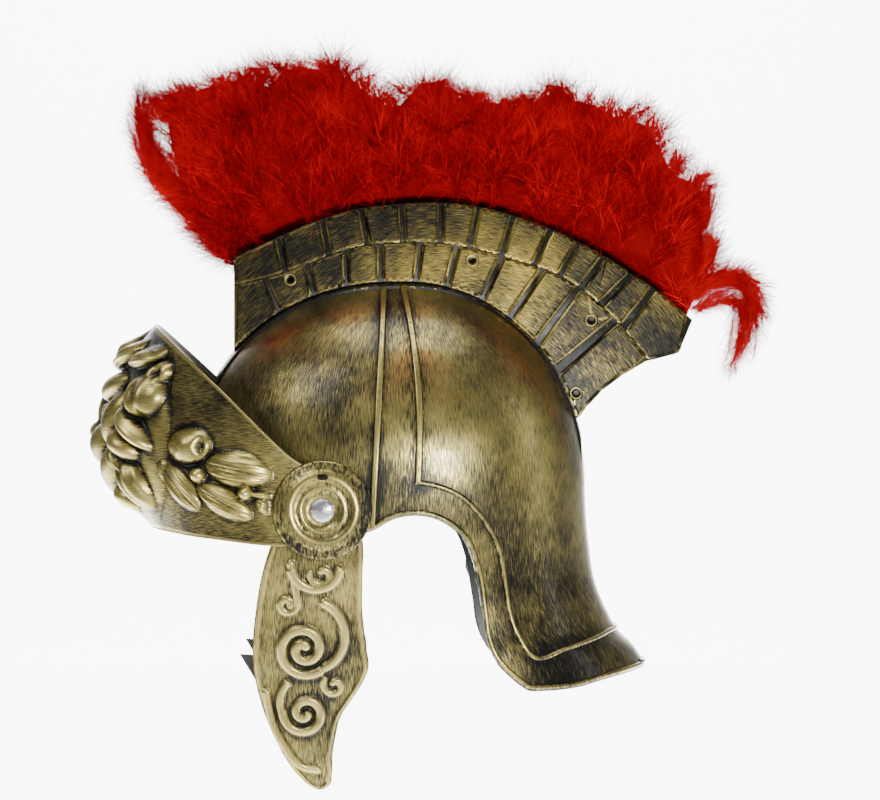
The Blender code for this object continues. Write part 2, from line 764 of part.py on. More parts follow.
def crest_blocks(side):
    """Two rows of blocks between the grooves, the upper row under the plume."""
    half = GROOVE_WIDTH / 2 / CREST_LENGTH
    gap = ROW_GAP / 2 / CREST_HEIGHT
    border = EDGE_BORDER / CREST_LENGTH
    blocks = []
    uppers = [(border - half, border - half), *UPPER_GROOVES, UPPER_END]
    for left, right in zip(uppers, uppers[1:]):
        corners = []
        ends = ((left[0] + half, left[1] + half), (right[0] - half, right[1] - half))
        for top_along, middle_along in ends:
            top = crest_top(top_along)
            middle = crest_place(middle_along, share_of(CREST_ARCS, middle_along, 2) + gap)
            corners.append((top, middle))
        (top_left, low_left), (top_right, low_right) = corners
        blocks.append(block_mesh("upper", (top_left, top_right, low_right, low_left), side))
    lowers = [(border - half, border - half), *LOWER_GROOVES, LOWER_END]
    for left, right in zip(lowers, lowers[1:]):
        corners = []
        ends = ((left[0] + half, left[1] + half), (right[0] - half, right[1] - half))
        for middle_along, foot_along in ends:
            middle = crest_place(middle_along, share_of(CREST_ARCS, middle_along, 2) - gap)
            foot = crest_foot(foot_along)
            corners.append((middle, foot))
        (top_left, low_left), (top_right, low_right) = corners
        blocks.append(block_mesh("lower", (top_left, top_right, low_right, low_left), side))
    return joined("blocks", blocks)


def build_crest(material):
    """Hollow holder that stands on the skull, open underneath."""
    outline = crest_outline()
    crest = add_object("crest", side_prism("crest", outline, CREST_HALF_WIDTH), helmet, material)
    field = inset_outline(outline, EDGE_BORDER)
    for name, side in SIDES:
        blocks = add_cutter("blocks_" + name, crest_blocks(side))
        combine(blocks, add_cutter("field_" + name, side_prism("field", field, FAR)), "INTERSECT")
        combine(crest, blocks, "UNION")
    hollow = side_prism("crest_hollow", inset_outline(outline, WALL), CREST_HALF_WIDTH - WALL)
    combine(crest, add_cutter("crest_hollow", hollow), "DIFFERENCE")
    combine(crest, add_cutter("crest_seat", skull_form("crest_seat", STRIP_RISE + GAP)), "DIFFERENCE")
    for index, row in enumerate(CREST_HOLES):
        x, z = crest_place(*row)
        hole = round_bar("crest_hole_%d" % index, x, z, HOLE_RADIUS, -FAR, FAR, 8)
        combine(crest, add_cutter("crest_hole_%d" % index, hole), "DIFFERENCE")


def visor_band_point(turn, rise, lift):
    """Point on the visor's band: turn runs from -1 at the left lobe to 1 at the right, rise from 0 to 1.

    The band leaves each lobe straight and flat, and then bends round the brow.
    """
    reach = VISOR_REACH * share_of(VISOR_BOW, rise, 1) + lift
    side = 1 if turn > 0 else -1
    if abs(turn) > VISOR_BEND_TURN:
        ahead = LOBE_RADIUS * (1 - abs(turn)) / (1 - VISOR_BEND_TURN)
        across = 1.0
    else:
        angle = abs(turn) / VISOR_BEND_TURN * pi / 2
        ahead = LOBE_RADIUS + (reach - LOBE_RADIUS) * cos(angle) ** (2 / VISOR_POWER)
        across = sin(angle) ** (2 / VISOR_POWER)
    low = share_of(VISOR_EDGES, ahead / reach, 1)
    high = share_of(VISOR_EDGES, ahead / reach, 2)
    height = (low + (high - low) * rise) * VISOR_HEIGHT
    return Vector((PIVOT_X - ahead, side * (VISOR_OUT + lift) * across, PIVOT_Z + height))


def lobe_rise(lobe, along, height):
    """Rise of one round lobe, and of its mirror on the other side, in metres."""
    _, place, level, long, wide, tilt, rise = lobe
    turn = radians(tilt)
    up = height - level * VISOR_HEIGHT
    highest = 0.0
    for mirror in (1, -1):
        across = along * mirror - place * VISOR_HEIGHT
        on_length = (across * cos(turn) + up * sin(turn)) / (long * VISOR_HEIGHT)
        on_width = (up * cos(turn) - across * sin(turn)) / (wide * VISOR_HEIGHT)
        away = on_length * on_length + on_width * on_width
        highest = max(highest, rise * RELIEF_RISE * sqrt(max(1.0 - away, 0.0)))
    return highest


def relief_rise(along, height):
    """Rise of the relief for a place round the band and a height over the pivot, in metres."""
    mask = lobe_rise(LION_MASK, along, height)
    return mask + max(lobe_rise(lobe, along, height) for lobe in LION_LOBES + LAUREL_LOBES)


def build_visor(material):
    """Band that wraps round the brow, with raised relief and a round lobe at each temple."""
    columns, rows = VISOR_COLUMNS, VISOR_ROWS
    turns = [-1 + 2 * column / columns for column in range(columns + 1)]
    places = [visor_band_point(turn, 0.5, 0.0) for turn in turns]
    alongs = [0.0]
    for before, after in zip(places, places[1:]):
        alongs.append(alongs[-1] + hypot(after.x - before.x, after.y - before.y))
    middle = alongs[-1] / 2
    outer, inner = [], []
    for turn, along in zip(turns, alongs):
        outer_line, inner_line = [], []
        for row in range(rows + 1):
            rise = row / rows
            plain = visor_band_point(turn, rise, -GAP / 10)
            lift = relief_rise(along - middle, plain.z - PIVOT_Z)
            clear = hypot(plain.x - PIVOT_X, plain.z - PIVOT_Z) - ROSETTE_RADIUS - WALL
            edge = min(1.0, rise / RELIEF_EDGE, (1 - rise) / RELIEF_EDGE)
            lift *= min(max(clear / WALL / 2, 0.0), 1.0) * edge
            outer_line.append(visor_band_point(turn, rise, lift - GAP / 10))
            inner_line.append(visor_band_point(turn, rise, GAP / 10 - WALL))
        outer.append(outer_line)
        inner.append(inner_line)
    visor = add_object("visor", plate_between("visor", outer, inner), helmet, material)
    for name, side in SIDES:
        ends = (side * VISOR_IN, side * VISOR_OUT)
        lobe = round_bar("visor_lobe_" + name, PIVOT_X, PIVOT_Z, LOBE_RADIUS, *ends, LOBE_SIDES)
        combine(visor, add_cutter("visor_lobe_" + name, lobe), "UNION")
    bore = round_bar("visor_bore", PIVOT_X, PIVOT_Z, BORE_RADIUS, -FAR, FAR, 16)
    combine(visor, add_cutter("visor_bore", bore), "DIFFERENCE")


def guard_face(aft, under, inset, side):
    """Point on a cheek guard, whose face curls inwards with the distance from its pivot."""
    away = hypot(aft, under) / GUARD_LENGTH
    out = GUARD_OUT - share_of(GUARD_CURL, away, 1) * GUARD_LENGTH - inset
    return Vector((PIVOT_X + aft, side * out, PIVOT_Z - under))


def guard_grid(inset, side, past_edge=False, columns=4):
    """Grid of points on the guard, with one more column past its front edge if asked."""
    grid = []
    for under, front, rear in GUARD_SECTIONS:
        row = []
        for column in range(-1 if past_edge else 0, columns + 1):
            aft = (front + (rear - front) * column / columns) * GUARD_WIDTH
            row.append(guard_face(aft, under * GUARD_LENGTH, inset, side))
        grid.append(row)
    return grid


def spiral_points(aft, under, start, end, first, last):
    """Side view points of a spiral, its sizes as shares of the guard's length."""
    turns = abs(last - first) / 360
    count = max(int(turns * SPIRAL_STEPS), 4)
    points = []
    for step in range(count + 1):
        part = step / count
        angle = radians(first + (last - first) * part)
        radius = start + (end - start) * part
        points.append((aft + radius * cos(angle), under - radius * sin(angle)))
    return points


def build_guard(name, side, material):
    """Cheek guard plate with raised scrolls and a round lobe on the temple axis."""
    guard = add_object(
        "cheek_guard_" + name,
        plate_between("cheek_guard", guard_grid(GAP / 10, side), guard_grid(WALL - GAP / 10, side)),
        helmet,
        material,
    )
    ends = (side * GUARD_IN, side * GUARD_OUT)
    lobe = round_bar("guard_lobe_" + name, PIVOT_X, PIVOT_Z, LOBE_RADIUS, *ends, LOBE_SIDES)
    combine(guard, add_cutter("guard_lobe_" + name, lobe), "UNION")
    scrolls = [
        (label, spiral_points(aft, under, start, end, first, last), girth)
        for label, aft, under, start, end, first, last, girth in SCROLL_SPIRALS
    ]
    scrolls += list(SCROLL_STEMS)
    for label, places, girth in scrolls:
        lifted = -SCROLL_RADIUS * girth * SCROLL_LIFT
        points = [guard_face(aft * GUARD_LENGTH, under * GUARD_LENGTH, lifted, side) for aft, under in places]
        tapers = [1.0] * len(points)
        tapers[0] = tapers[-1] = 0.7
        relief = tube(label + "_" + name, points, SCROLL_RADIUS * girth, 0, tapers)
        combine(guard, add_cutter(label + "_" + name, relief), "UNION")
    bore = round_bar("guard_bore_" + name, PIVOT_X, PIVOT_Z, BORE_RADIUS, 0, side * FAR, 16)
    combine(guard, add_cutter("guard_bore_" + name, bore), "DIFFERENCE")


def build_tab(name, side, material):
    """Flat end of a strap, fixed against the inside of a cheek guard and cut to its outline."""
    faces = [guard_grid(WALL + inset, side, True) for inset in (GAP, GAP + TAB_THICKNESS)]
    tab = add_object("strap_tab_" + name, plate_between("strap_tab", *faces), helmet, material)
    corners = [(PIVOT_X + aft * GUARD_LENGTH, PIVOT_Z - under * GUARD_LENGTH) for aft, under in TAB_CORNERS]
    combine(tab, add_cutter("tab_cut_" + name, side_prism("tab_cut", corners, FAR)), "INTERSECT")


def build_rosette(name, side, material):
    """Ringed disc that covers the temple pivot."""
    profile = []
    for radius, rise in reversed(ROSETTE_RINGS):
        profile.append((radius * ROSETTE_RADIUS, ROSETTE_BACK + rise * ROSETTE_RISE))
    profile.insert(0, (BORE_RADIUS, ROSETTE_BACK + ROSETTE_RINGS[-1][1] * ROSETTE_RISE))
    profile.append((ROSETTE_RADIUS, ROSETTE_BACK))
    profile.append((BORE_RADIUS, ROSETTE_BACK))
    turned("rosette_" + name, profile, side, 20, helmet, material)


def build_rivet(name, side, seat_back, material):
    """Domed rivet through the rosette, the visor, the guard and the skull."""
    head_foot = ROSETTE_BACK + ROSETTE_RINGS[-1][1] * ROSETTE_RISE + GAP
    tail_top = seat_back - GAP
    profile = []
    for step in range(5):
        angle = radians(90 - 90 * step / 4)
        profile.append((RIVET_HEAD_RADIUS * cos(angle), head_foot + RIVET_HEAD_HEIGHT * sin(angle)))
    profile[0] = (0.0, head_foot + RIVET_HEAD_HEIGHT)
    profile += [(SHANK_RADIUS, head_foot), (SHANK_RADIUS, tail_top), (RIVET_TAIL_RADIUS, tail_top)]
    profile += [(RIVET_TAIL_RADIUS, tail_top - RIVET_TAIL_HEIGHT), (0.0, tail_top - RIVET_TAIL_HEIGHT)]
    turned("rivet_" + name, profile, side, 12, helmet, material)


def bend(root, knee, tip, count):
    """Points on a smooth bend from a root to a tip."""
    points = []
    for step in range(count + 1):
        part = step / count
        points.append(root * (1 - part) ** 2 + knee * 2 * part * (1 - part) + tip * part * part)
    return points


def plume_place(along, share, across):
    """Point on the fanned line of down that stands at a place along the crest."""
    x, z = crest_top(along)
    aft = share_of(PLUME_SECTIONS, along, 1) * share * PLUME_HEIGHT
    high = share_of(PLUME_SECTIONS, along, 2) * share * PLUME_HEIGHT
    return Vector((x + aft, across * PLUME_HALF_WIDTH, z + high))


def build_plume(material):
    """Feather plume: a backing of down along the crest, with locks and two feathers grown out of it."""
    around = [(-across, rise) for across, rise in PLUME_SHAPE]
    around += [(across, rise) for across, rise in PLUME_SHAPE[-2::-1]]
    rings = []
    for along, _, _, width in PLUME_SECTIONS:
        rings.append([plume_place(along, rise, across * width) for across, rise in around])
    plume = add_object("plume", loft("plume", rings), helmet, material)
    locks = []
    for label, along, start, end, sweep, lean, girth in PLUME_LOCKS:
        reach = 1.0 - LOCK_RADIUS * girth * LOCK_TAPER[-1] / PLUME_HEIGHT
        root = plume_place(along, start, lean)
        knee = plume_place(along, (start + end) / 2, lean * LOCK_SPREAD)
        tip = plume_place(along, end * reach, lean / 2)
        tip.x += sweep * PLUME_HEIGHT
        points = bend(root, knee, tip, len(LOCK_TAPER) - 1)
        locks.append(tube("lock_" + label, points, LOCK_RADIUS * girth, 1, LOCK_TAPER))
    for label, along, start, bend_x, bend_z, tip_x, tip_z, girth in PLUME_FEATHERS:
        root = plume_place(along, start, 0.0)
        knee = root + Vector((bend_x, 0.0, bend_z)) * PLUME_HEIGHT
        tip = root + Vector((tip_x, 0.0, tip_z)) * PLUME_HEIGHT
        points = bend(root, knee, tip, len(FEATHER_TAPER) - 1)
        locks.append(tube(label, points, LOCK_RADIUS * girth, 1, FEATHER_TAPER))
    combine(plume, add_cutter("locks", joined("locks", locks)), "UNION", True)
    seat = side_prism("plume_seat", inset_outline(crest_outline(), -GAP), FAR)
    combine(plume, add_cutter("plume_seat", seat), "DIFFERENCE")


for old in list(bpy.data.objects):
    bpy.data.objects.remove(old)
helmet = new_collection("legionary_helmet", False)
cutters = new_collection("cutters", True)

gold = make_material("antique_gold", (0.42, 0.34, 0.15), 0.35, 0.8)
dark_gold = make_material("dark_gold", (0.30, 0.25, 0.12), 0.40, 0.8)
red_down = make_material("red_down", (0.55, 0.01, 0.01), 0.9, 0.0)
bright_steel = make_material("bright_steel", (0.75, 0.75, 0.75), 0.2, 1.0)
black_web = make_material("black_web", (0.02, 0.02, 0.02), 0.8, 0.0)

rivet_seat = build_skull(gold)
build_crest(dark_gold)
build_plume(red_down)
build_visor(gold)
for side_name, side_sign in SIDES:
    build_guard(side_name, side_sign, gold)
    build_tab(side_name, side_sign, black_web)
    build_rosette(side_name, side_sign, gold)
    build_rivet(side_name, side_sign, rivet_seat, bright_steel)
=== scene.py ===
"""The looks of a Roman legionary dress helmet: antique-gold shell, block crest, red down plume.

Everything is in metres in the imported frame: the helmet faces -X, the wearer's left is -Y, +Z is up.
"""

import math

import bmesh
import bpy
import numpy as np
from mathutils import Matrix, Vector


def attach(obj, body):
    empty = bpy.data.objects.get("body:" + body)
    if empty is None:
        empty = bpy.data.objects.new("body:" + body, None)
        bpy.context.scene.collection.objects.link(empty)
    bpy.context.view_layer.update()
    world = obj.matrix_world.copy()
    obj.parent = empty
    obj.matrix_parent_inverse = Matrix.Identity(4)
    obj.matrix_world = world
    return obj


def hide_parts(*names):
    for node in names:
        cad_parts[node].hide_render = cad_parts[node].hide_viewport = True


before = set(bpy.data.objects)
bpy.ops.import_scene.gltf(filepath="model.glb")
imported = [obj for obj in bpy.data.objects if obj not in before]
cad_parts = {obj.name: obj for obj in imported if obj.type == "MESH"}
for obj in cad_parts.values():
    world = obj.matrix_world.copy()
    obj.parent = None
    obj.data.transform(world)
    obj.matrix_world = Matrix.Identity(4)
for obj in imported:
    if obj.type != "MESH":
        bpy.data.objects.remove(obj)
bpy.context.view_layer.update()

# Skull, as in the frame
WALL = 0.002
GAP = 0.0003
SKULL_FRONT = 0.118
SKULL_REAR = 0.110
SKULL_HALF_WIDTH = 0.087
FRONT_CURVE = 0.095
REAR_CURVE = 0.120
SIDE_CURVE = 0.105
NECK_DEPTH = 0.2385
PLAN_POWER = 2.5
APEX = WALL
STRIP_HALF_WIDTH = 0.027
STRIP_RISE = 0.0012
RIM_BEAD_INSET = 0.0020

# Temple pivot
PIVOT = Vector((-0.046, 0.0, -0.132))
SEAT_FACE = 0.0878
LOBE_RADIUS = 0.026
BORE_RADIUS = 0.0028
GUARD_OUT = SEAT_FACE + GAP + WALL
VISOR_OUT = GUARD_OUT + GAP + WALL
ROSETTE_BACK = VISOR_OUT + GAP
ROSETTE_RADIUS = 0.0284
ROSETTE_RISE = 0.0054
ROSETTE_STEPS = 160
LOBE_STEPS = 64

# Crest
CREST_FRONT = 0.0986
CREST_LENGTH = 0.2717
CREST_HEIGHT = 0.0500
CREST_DATUM = -0.018
CREST_HALF_WIDTH = 0.0195
GROOVE_WIDTH = 0.0036
ROW_GAP = 0.0018
BLOCK_RISE = 0.0014
BLOCK_SINK = 0.0008
BLOCK_LIFT = 0.0012
HOLE_RADIUS = 0.0029
HOLE_DEPTH = 0.008

# Middle of the crest's arcs in the side view, and their radius
ARC_CENTRE = (0.025, -0.115)
ARC_RADIUS = 0.160

# Visor
VISOR_REACH = 0.113
VISOR_HEIGHT = 0.120
VISOR_POWER = 2.4
VISOR_BEND_TURN = 0.9
RELIEF_RISE = 0.026

# Cheek guards
GUARD_LENGTH = 0.162
GUARD_WIDTH = 0.065

# Plume
PLUME_HEIGHT = 0.095
PLUME_HALF_WIDTH = 0.036
# Place along the crest, lean aft, height and half width, in shares
PLUME_SECTIONS = (
    (0.000, -0.24, 0.26, 0.55), (0.015, -0.40, 0.50, 0.75), (0.040, -0.60, 0.88, 0.85),
    (0.090, -0.59, 0.95, 0.95), (0.150, -0.41, 0.99, 1.00), (0.220, -0.24, 1.00, 1.00),
    (0.270, -0.12, 0.97, 1.00), (0.320, -0.08, 0.73, 0.95), (0.420, -0.03, 0.79, 1.00),
    (0.520, 0.00, 0.75, 1.00), (0.620, 0.00, 0.76, 1.00), (0.700, 0.03, 0.94, 1.00),
    (0.780, 0.10, 0.97, 1.00), (0.860, 0.14, 1.00, 0.95), (0.920, 0.14, 0.84, 0.90),
    (0.970, 0.15, 0.74, 0.80), (0.995, 0.12, 0.40, 0.60),
)

# Share of a quill's height on the plume, and how far out it lies there
QUILL_SPREAD = ((0.0, 0.36, 0.72, 0.95), (0.5, 0.74, 0.60, 0.12))
BARB_SPACING = 0.00014
DOWN_PIECES = 4
BARB_INPUTS = (
    ("Spacing", "NodeSocketFloat", 0.0005),
    ("Spread", "NodeSocketFloat", 1.0),
    ("Size", "NodeSocketFloat", 1.0),
    ("Seed", "NodeSocketInt", 1),
)

SIDES = (("left", -1), ("right", 1))

# Depth under the crown, rear reach and half width, in shares of the skull's
NECK_SECTIONS = (
    (0.000, 1.000, 1.000), (0.250, 1.000, 1.000), (0.500, 1.000, 1.000), (0.570, 1.004, 0.985),
    (0.660, 1.023, 0.950), (0.750, 1.055, 0.925), (0.830, 1.127, 0.935), (0.872, 1.180, 0.955),
    (0.900, 1.246, 0.975), (0.935, 1.300, 0.995), (1.040, 1.370, 1.040),
)
# Lines in the side view: reach and depth, in shares of the skull's
RIM = (
    (-1.20, 0.465), (-1.00, 0.480), (-0.80, 0.515), (-0.60, 0.570), (-0.39, 0.618), (-0.17, 0.617),
    (-0.04, 0.585), (0.08, 0.577), (0.20, 0.591), (0.32, 0.636), (0.388, 0.720), (0.415, 0.803),
    (0.439, 0.878), (0.490, 0.930), (0.658, 0.998), (0.700, 1.000), (0.906, 0.995), (1.100, 0.975),
    (1.500, 0.940),
)
CONTOUR = (
    (0.080, 0.496), (0.174, 0.504), (0.294, 0.527), (0.393, 0.568), (0.465, 0.616), (0.512, 0.669),
    (0.538, 0.736), (0.559, 0.803), (0.601, 0.863), (0.700, 0.922), (0.860, 0.902), (1.040, 0.878),
    (1.100, 0.868), (1.150, 0.862),
)
# Name, reach at the top and at the foot, depth of the foot
BAND_RIDGES = (("front", -0.085, -0.150, 0.610), ("rear", 0.012, 0.080, 0.500))
BAND_BOW = 0.035
# Place along the crest, height of its top and of the groove between its rows
CREST_ARCS = (
    (0.000, 0.66, 0.33), (0.105, 0.93, 0.48), (0.184, 1.11, 0.64), (0.265, 1.24, 0.79),
    (0.352, 1.30, 0.84), (0.446, 1.32, 0.84), (0.534, 1.27, 0.76), (0.619, 1.15, 0.63),
    (0.700, 0.99, 0.48), (0.766, 0.81, 0.26), (0.816, 0.66, 0.02), (0.866, 0.48, -0.28),
    (0.921, 0.29, -0.66), (1.000, -0.07, -1.00),
)
CREST_TAIL = (
    (0.970, -0.46), (0.900, -0.56), (0.847, -0.72), (0.801, -0.91), (0.768, -1.10), (0.750, -1.23),
    (0.735, -1.26), (0.700, -1.10),
)
# Place along the crest of each groove's top and foot
UPPER_GROOVES = (
    (0.096, 0.112), (0.192, 0.206), (0.277, 0.290), (0.365, 0.368), (0.451, 0.449), (0.532, 0.514),
    (0.608, 0.582), (0.690, 0.654), (0.750, 0.711), (0.805, 0.757), (0.864, 0.801), (0.914, 0.849),
)
LOWER_GROOVES = (
    (0.068, 0.098), (0.160, 0.173), (0.243, 0.245), (0.319, 0.319), (0.406, 0.396), (0.486, 0.464),
    (0.582, 0.540), (0.672, 0.602), (0.750, 0.661), (0.830, 0.704),
)
# Place along the crest and height
CREST_HOLES = ((0.123, 0.40), (0.519, 0.63), (0.778, -0.08), (0.745, -0.94))
# Radius in shares of the hole's, and height on the block
HOLE_RIM = ((1.0, -0.0002), (1.03, 0.00025), (1.14, 0.0003), (1.22, -0.0002))
# Place ahead of the pivot, height of the lower and the upper edge
VISOR_EDGES = (
    (0.00, -0.175, 0.200), (0.14, -0.175, 0.228), (0.31, -0.170, 0.350), (0.57, -0.145, 0.565),
    (0.77, -0.125, 0.722), (0.90, -0.108, 0.822), (1.00, -0.098, 0.900),
)
# Height on the band and reach there
VISOR_BOW = ((0.0, 0.90), (0.25, 0.97), (0.5, 1.0), (0.75, 0.965), (1.0, 0.885))
# Relief lobes: kind, place round the band, height, half length, half width, tilt, rise
LION_MASK = ("smooth", 0.00, 0.34, 0.56, 0.66, 90, 0.52)
LION_LOBES = (
    ("smooth", 0.17, 0.590, 0.150, 0.070, 17, 0.36),
    ("smooth", 0.00, 0.480, 0.150, 0.060, 90, 0.32),
    ("smooth", 0.00, 0.370, 0.065, 0.075, 0, 0.48),
    ("ring", 0.14, 0.475, 0.052, 0.040, 10, 0.32),
    ("smooth", 0.10, 0.300, 0.130, 0.095, 70, 0.48),
    ("smooth", 0.00, 0.130, 0.080, 0.100, 90, 0.36),
    ("smooth", 0.30, 0.430, 0.150, 0.075, 73, 0.36),
    ("smooth", 0.18, 0.170, 0.150, 0.085, 60, 0.38),
    ("smooth", 0.29, 0.050, 0.085, 0.060, -38, 0.36),
    ("hair", 0.50, 0.550, 0.115, 0.110, -68, 0.42),
    ("smooth", 0.48, 0.395, 0.150, 0.045, -48, 0.46),
    ("smooth", 0.42, 0.315, 0.105, 0.062, -49, 0.48),
    ("hair", 0.43, 0.125, 0.140, 0.085, -70, 0.42),
    ("hair", 0.38, 0.240, 0.110, 0.050, -62, 0.46),
    ("hair", 0.40, 0.735, 0.120, 0.055, 10, 0.32),
    ("hair", 0.19, 0.745, 0.130, 0.065, 25, 0.40),
    ("hair", 0.00, 0.790, 0.110, 0.060, 90, 0.40),
    ("ring", 0.54, 0.655, 0.062, 0.062, 0, 0.34),
)
LAUREL_LOBES = (
    ("bud", 0.780, 0.306, 0.118, 0.090, 0, 0.34),
    ("leaf", 1.026, 0.193, 0.170, 0.088, -11, 0.27),
    ("leaf", 0.952, 0.040, 0.160, 0.072, -28, 0.26),
    ("leaf", 0.709, 0.113, 0.152, 0.080, -48, 0.24),
    ("smooth", 0.830, 0.167, 0.044, 0.042, 0, 0.24),
    ("smooth", 1.065, 0.082, 0.040, 0.040, 0, 0.24),
    ("smooth", 1.150, 0.069, 0.075, 0.016, -8, 0.12),
    ("leaf", 1.160, 0.015, 0.060, 0.034, -30, 0.14),
)
# Place under the pivot, front and rear edge, in shares of the length and the width
GUARD_SECTIONS = (
    (0.000, -0.30, 0.30), (0.130, -0.46, 0.36), (0.228, -0.535, 0.354), (0.360, -0.592, 0.354),
    (0.480, -0.620, 0.385), (0.570, -0.612, 0.406), (0.617, -0.595, 0.360), (0.679, -0.557, 0.262),
    (0.735, -0.515, 0.170), (0.815, -0.430, 0.115), (0.880, -0.350, 0.090), (0.955, -0.215, 0.082),
    (0.990, -0.120, 0.060), (1.004, -0.060, 0.012),
)
# Distance from the pivot and bend inwards, in shares of the length
GUARD_CURL = (
    (0.0, 0.0), (0.175, 0.0), (0.37, 0.060), (0.56, 0.107), (0.74, 0.142), (1.02, 0.173), (1.2, 0.19),
)
# Scrolls: centre aft of the pivot and under it, start and end radius, start and end angle, girth
SCROLL_SPIRALS = (
    (-0.017, 0.193, 0.096, 0.080, 195, 345, 1.0),
    (-0.001, 0.228, 0.046, 0.012, 180, 470, 0.7),
    (-0.050, 0.450, 0.130, 0.128, 64, -62, 1.05),
    (-0.066, 0.497, 0.098, 0.012, -55, -660, 1.1),
    (-0.125, 0.336, 0.037, 0.010, 10, -380, 0.75),
    (0.042, 0.628, 0.042, 0.010, 150, 480, 0.75),
    (-0.063, 0.728, 0.122, 0.080, 122, 180, 0.95),
    (-0.063, 0.728, 0.080, 0.012, 180, 680, 1.05),
)
SCROLL_STEMS = (
    (((-0.112, 0.190), (-0.098, 0.262), (-0.089, 0.333)), 0.8),
    (((-0.201, 0.655), (-0.175, 0.775), (-0.124, 0.867), (-0.070, 0.925), (-0.018, 0.935)), 0.85),
)
SCROLL_RADIUS = 0.0026
# Radius from the rim to the middle, and rise
ROSETTE_RINGS = (
    (1.000, 0.00), (0.995, 0.25), (0.960, 0.40), (0.900, 0.52), (0.830, 0.66), (0.770, 0.84),
    (0.715, 0.96), (0.665, 1.00), (0.615, 0.95), (0.570, 0.84), (0.525, 0.78), (0.480, 0.80),
    (0.445, 0.83), (0.410, 0.78), (0.360, 0.62), (0.300, 0.50), (0.100, 0.47),
)
# Dark oval: place aft and up, half length and half width
ROSETTE_MARK = (0.0, 0.67, 0.115, 0.062)

# Camera: the photograph's direction, distance and framing
CAMERA_AZIMUTH = math.radians(-1.6)
CAMERA_DISTANCE = 2.2
CAMERA_TARGET = Vector((0.0238, 0.0, -0.069))
FRAME_WIDTH = 0.5255
FLOOR_Z = -0.315


def smooth_value(table, key, column):
    """A column of a table on a smooth curve through its rows."""
    keys = np.array([row[0] for row in table], float)
    values = np.array([row[column] for row in table], float)
    slopes = np.gradient(values, keys)
    key = np.clip(key, keys[0], keys[-1])
    index = np.clip(np.searchsorted(keys, key, side="right") - 1, 0, len(keys) - 2)
    span = keys[index + 1] - keys[index]
    part = (key - keys[index]) / span
    rise = part * part * (3 - 2 * part)
    first = part * (1 - part) ** 2 * span * slopes[index]
    second = -part * part * (1 - part) * span * slopes[index + 1]
    return values[index] + (values[index + 1] - values[index]) * rise + first + second


def quarter(z, centre, height):
    """Share of an ellipse's width that is left at a height over its centre."""
    over = np.maximum(z - centre, 0.0) / height
    return np.sqrt(np.maximum(1.0 - over * over, 0.0))


def reach_at(z, offset, rear):
    """Front or rear reach of the skull at a height, moved out by an offset."""
    depth = (APEX - z) / NECK_DEPTH
    front_reach = (SKULL_FRONT + offset) * quarter(z, APEX - FRONT_CURVE, FRONT_CURVE + offset)
    share = smooth_value(NECK_SECTIONS, depth, 1)
    rear_reach = (SKULL_REAR * share + offset) * quarter(z, APEX - REAR_CURVE, REAR_CURVE + offset)
    return np.where(rear, rear_reach, front_reach)


def half_width_at(z, offset):
    """Half width of the skull at a height, moved out by an offset."""
    share = smooth_value(NECK_SECTIONS, (APEX - z) / NECK_DEPTH, 2)
    return (SKULL_HALF_WIDTH * share + offset) * quarter(z, APEX - SIDE_CURVE, SIDE_CURVE + offset)


def skull_side(x, z, offset=0.0):
    """Distance of the skull's side from the symmetry plane at a place in the side view."""
    reach = np.maximum(reach_at(z, offset, np.asarray(x) > 0), 1e-6)
    inside = 1.0 - np.minimum(np.abs(x) / reach, 1.0) ** PLAN_POWER
    return half_width_at(z, offset) * inside ** (1.0 / PLAN_POWER)


def skull_frame(x, z, side):
    """Point on the skull's side face and its outward normal."""
    step = 0.0005
    slope_x = (skull_side(x + step, z) - skull_side(x - step, z)) / (2 * step)
    slope_z = (skull_side(x, z + step) - skull_side(x, z - step)) / (2 * step)
    normal = Vector((-float(slope_x), side, -float(slope_z))).normalized()
    return Vector((x, side * float(skull_side(x, z)), z)), normal


def side_place(reach_share, depth_share):
    """Place in the side view from shares of the skull's reach and depth."""
    x = reach_share * (SKULL_REAR if reach_share > 0 else SKULL_FRONT)
    return x, APEX - depth_share * NECK_DEPTH


def smooth_line(points, count):
    """Evenly spaced points on a smooth curve through a few points of any dimension."""
    points = np.array(points, float)
    steps = np.linalg.norm(np.diff(points, axis=0), axis=1)
    keys = np.concatenate(([0.0], np.cumsum(np.sqrt(steps))))
    fine = np.linspace(0, keys[-1], count * 4)
    columns = []
    for axis in range(points.shape[1]):
        table = list(zip(keys, points[:, axis]))
        columns.append(smooth_value(table, fine, 1))
    dense = np.stack(columns, axis=1)
    lengths = np.concatenate(([0.0], np.cumsum(np.linalg.norm(np.diff(dense, axis=0), axis=1))))
    even = np.linspace(0, lengths[-1], count)
    return np.stack([np.interp(even, lengths, dense[:, axis]) for axis in range(points.shape[1])], axis=1)


def blurred(field, reach):
    """Mean of a grid over a square of cells."""
    result = field.copy()
    for axis in (0, 1):
        padded = np.pad(result, [(reach, reach) if axis == side else (0, 0) for side in (0, 1)], mode="edge")
        total = np.cumsum(padded, axis=axis)
        total = np.insert(total, 0, 0.0, axis=axis)
        size = 2 * reach + 1
        high = np.take(total, range(size, total.shape[axis]), axis=axis)
        low = np.take(total, range(0, total.shape[axis] - size), axis=axis)
        result = (high - low) / size
    return result


def new_piece(name, mesh, materials, body):
    """Adds a finished mesh that rides on a body."""
    obj = bpy.data.objects.new(name, mesh)
    bpy.context.scene.collection.objects.link(obj)
    for material in materials:
        mesh.materials.append(material)
    for polygon in mesh.polygons:
        polygon.use_smooth = True
    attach(obj, body)
    return obj


def mesh_from(name, points, faces):
    """New mesh from an array or list of points and a list of faces."""
    mesh = bpy.data.meshes.new(name)
    mesh.from_pydata(np.reshape(points, (-1, 3)).tolist(), [], faces)
    return mesh


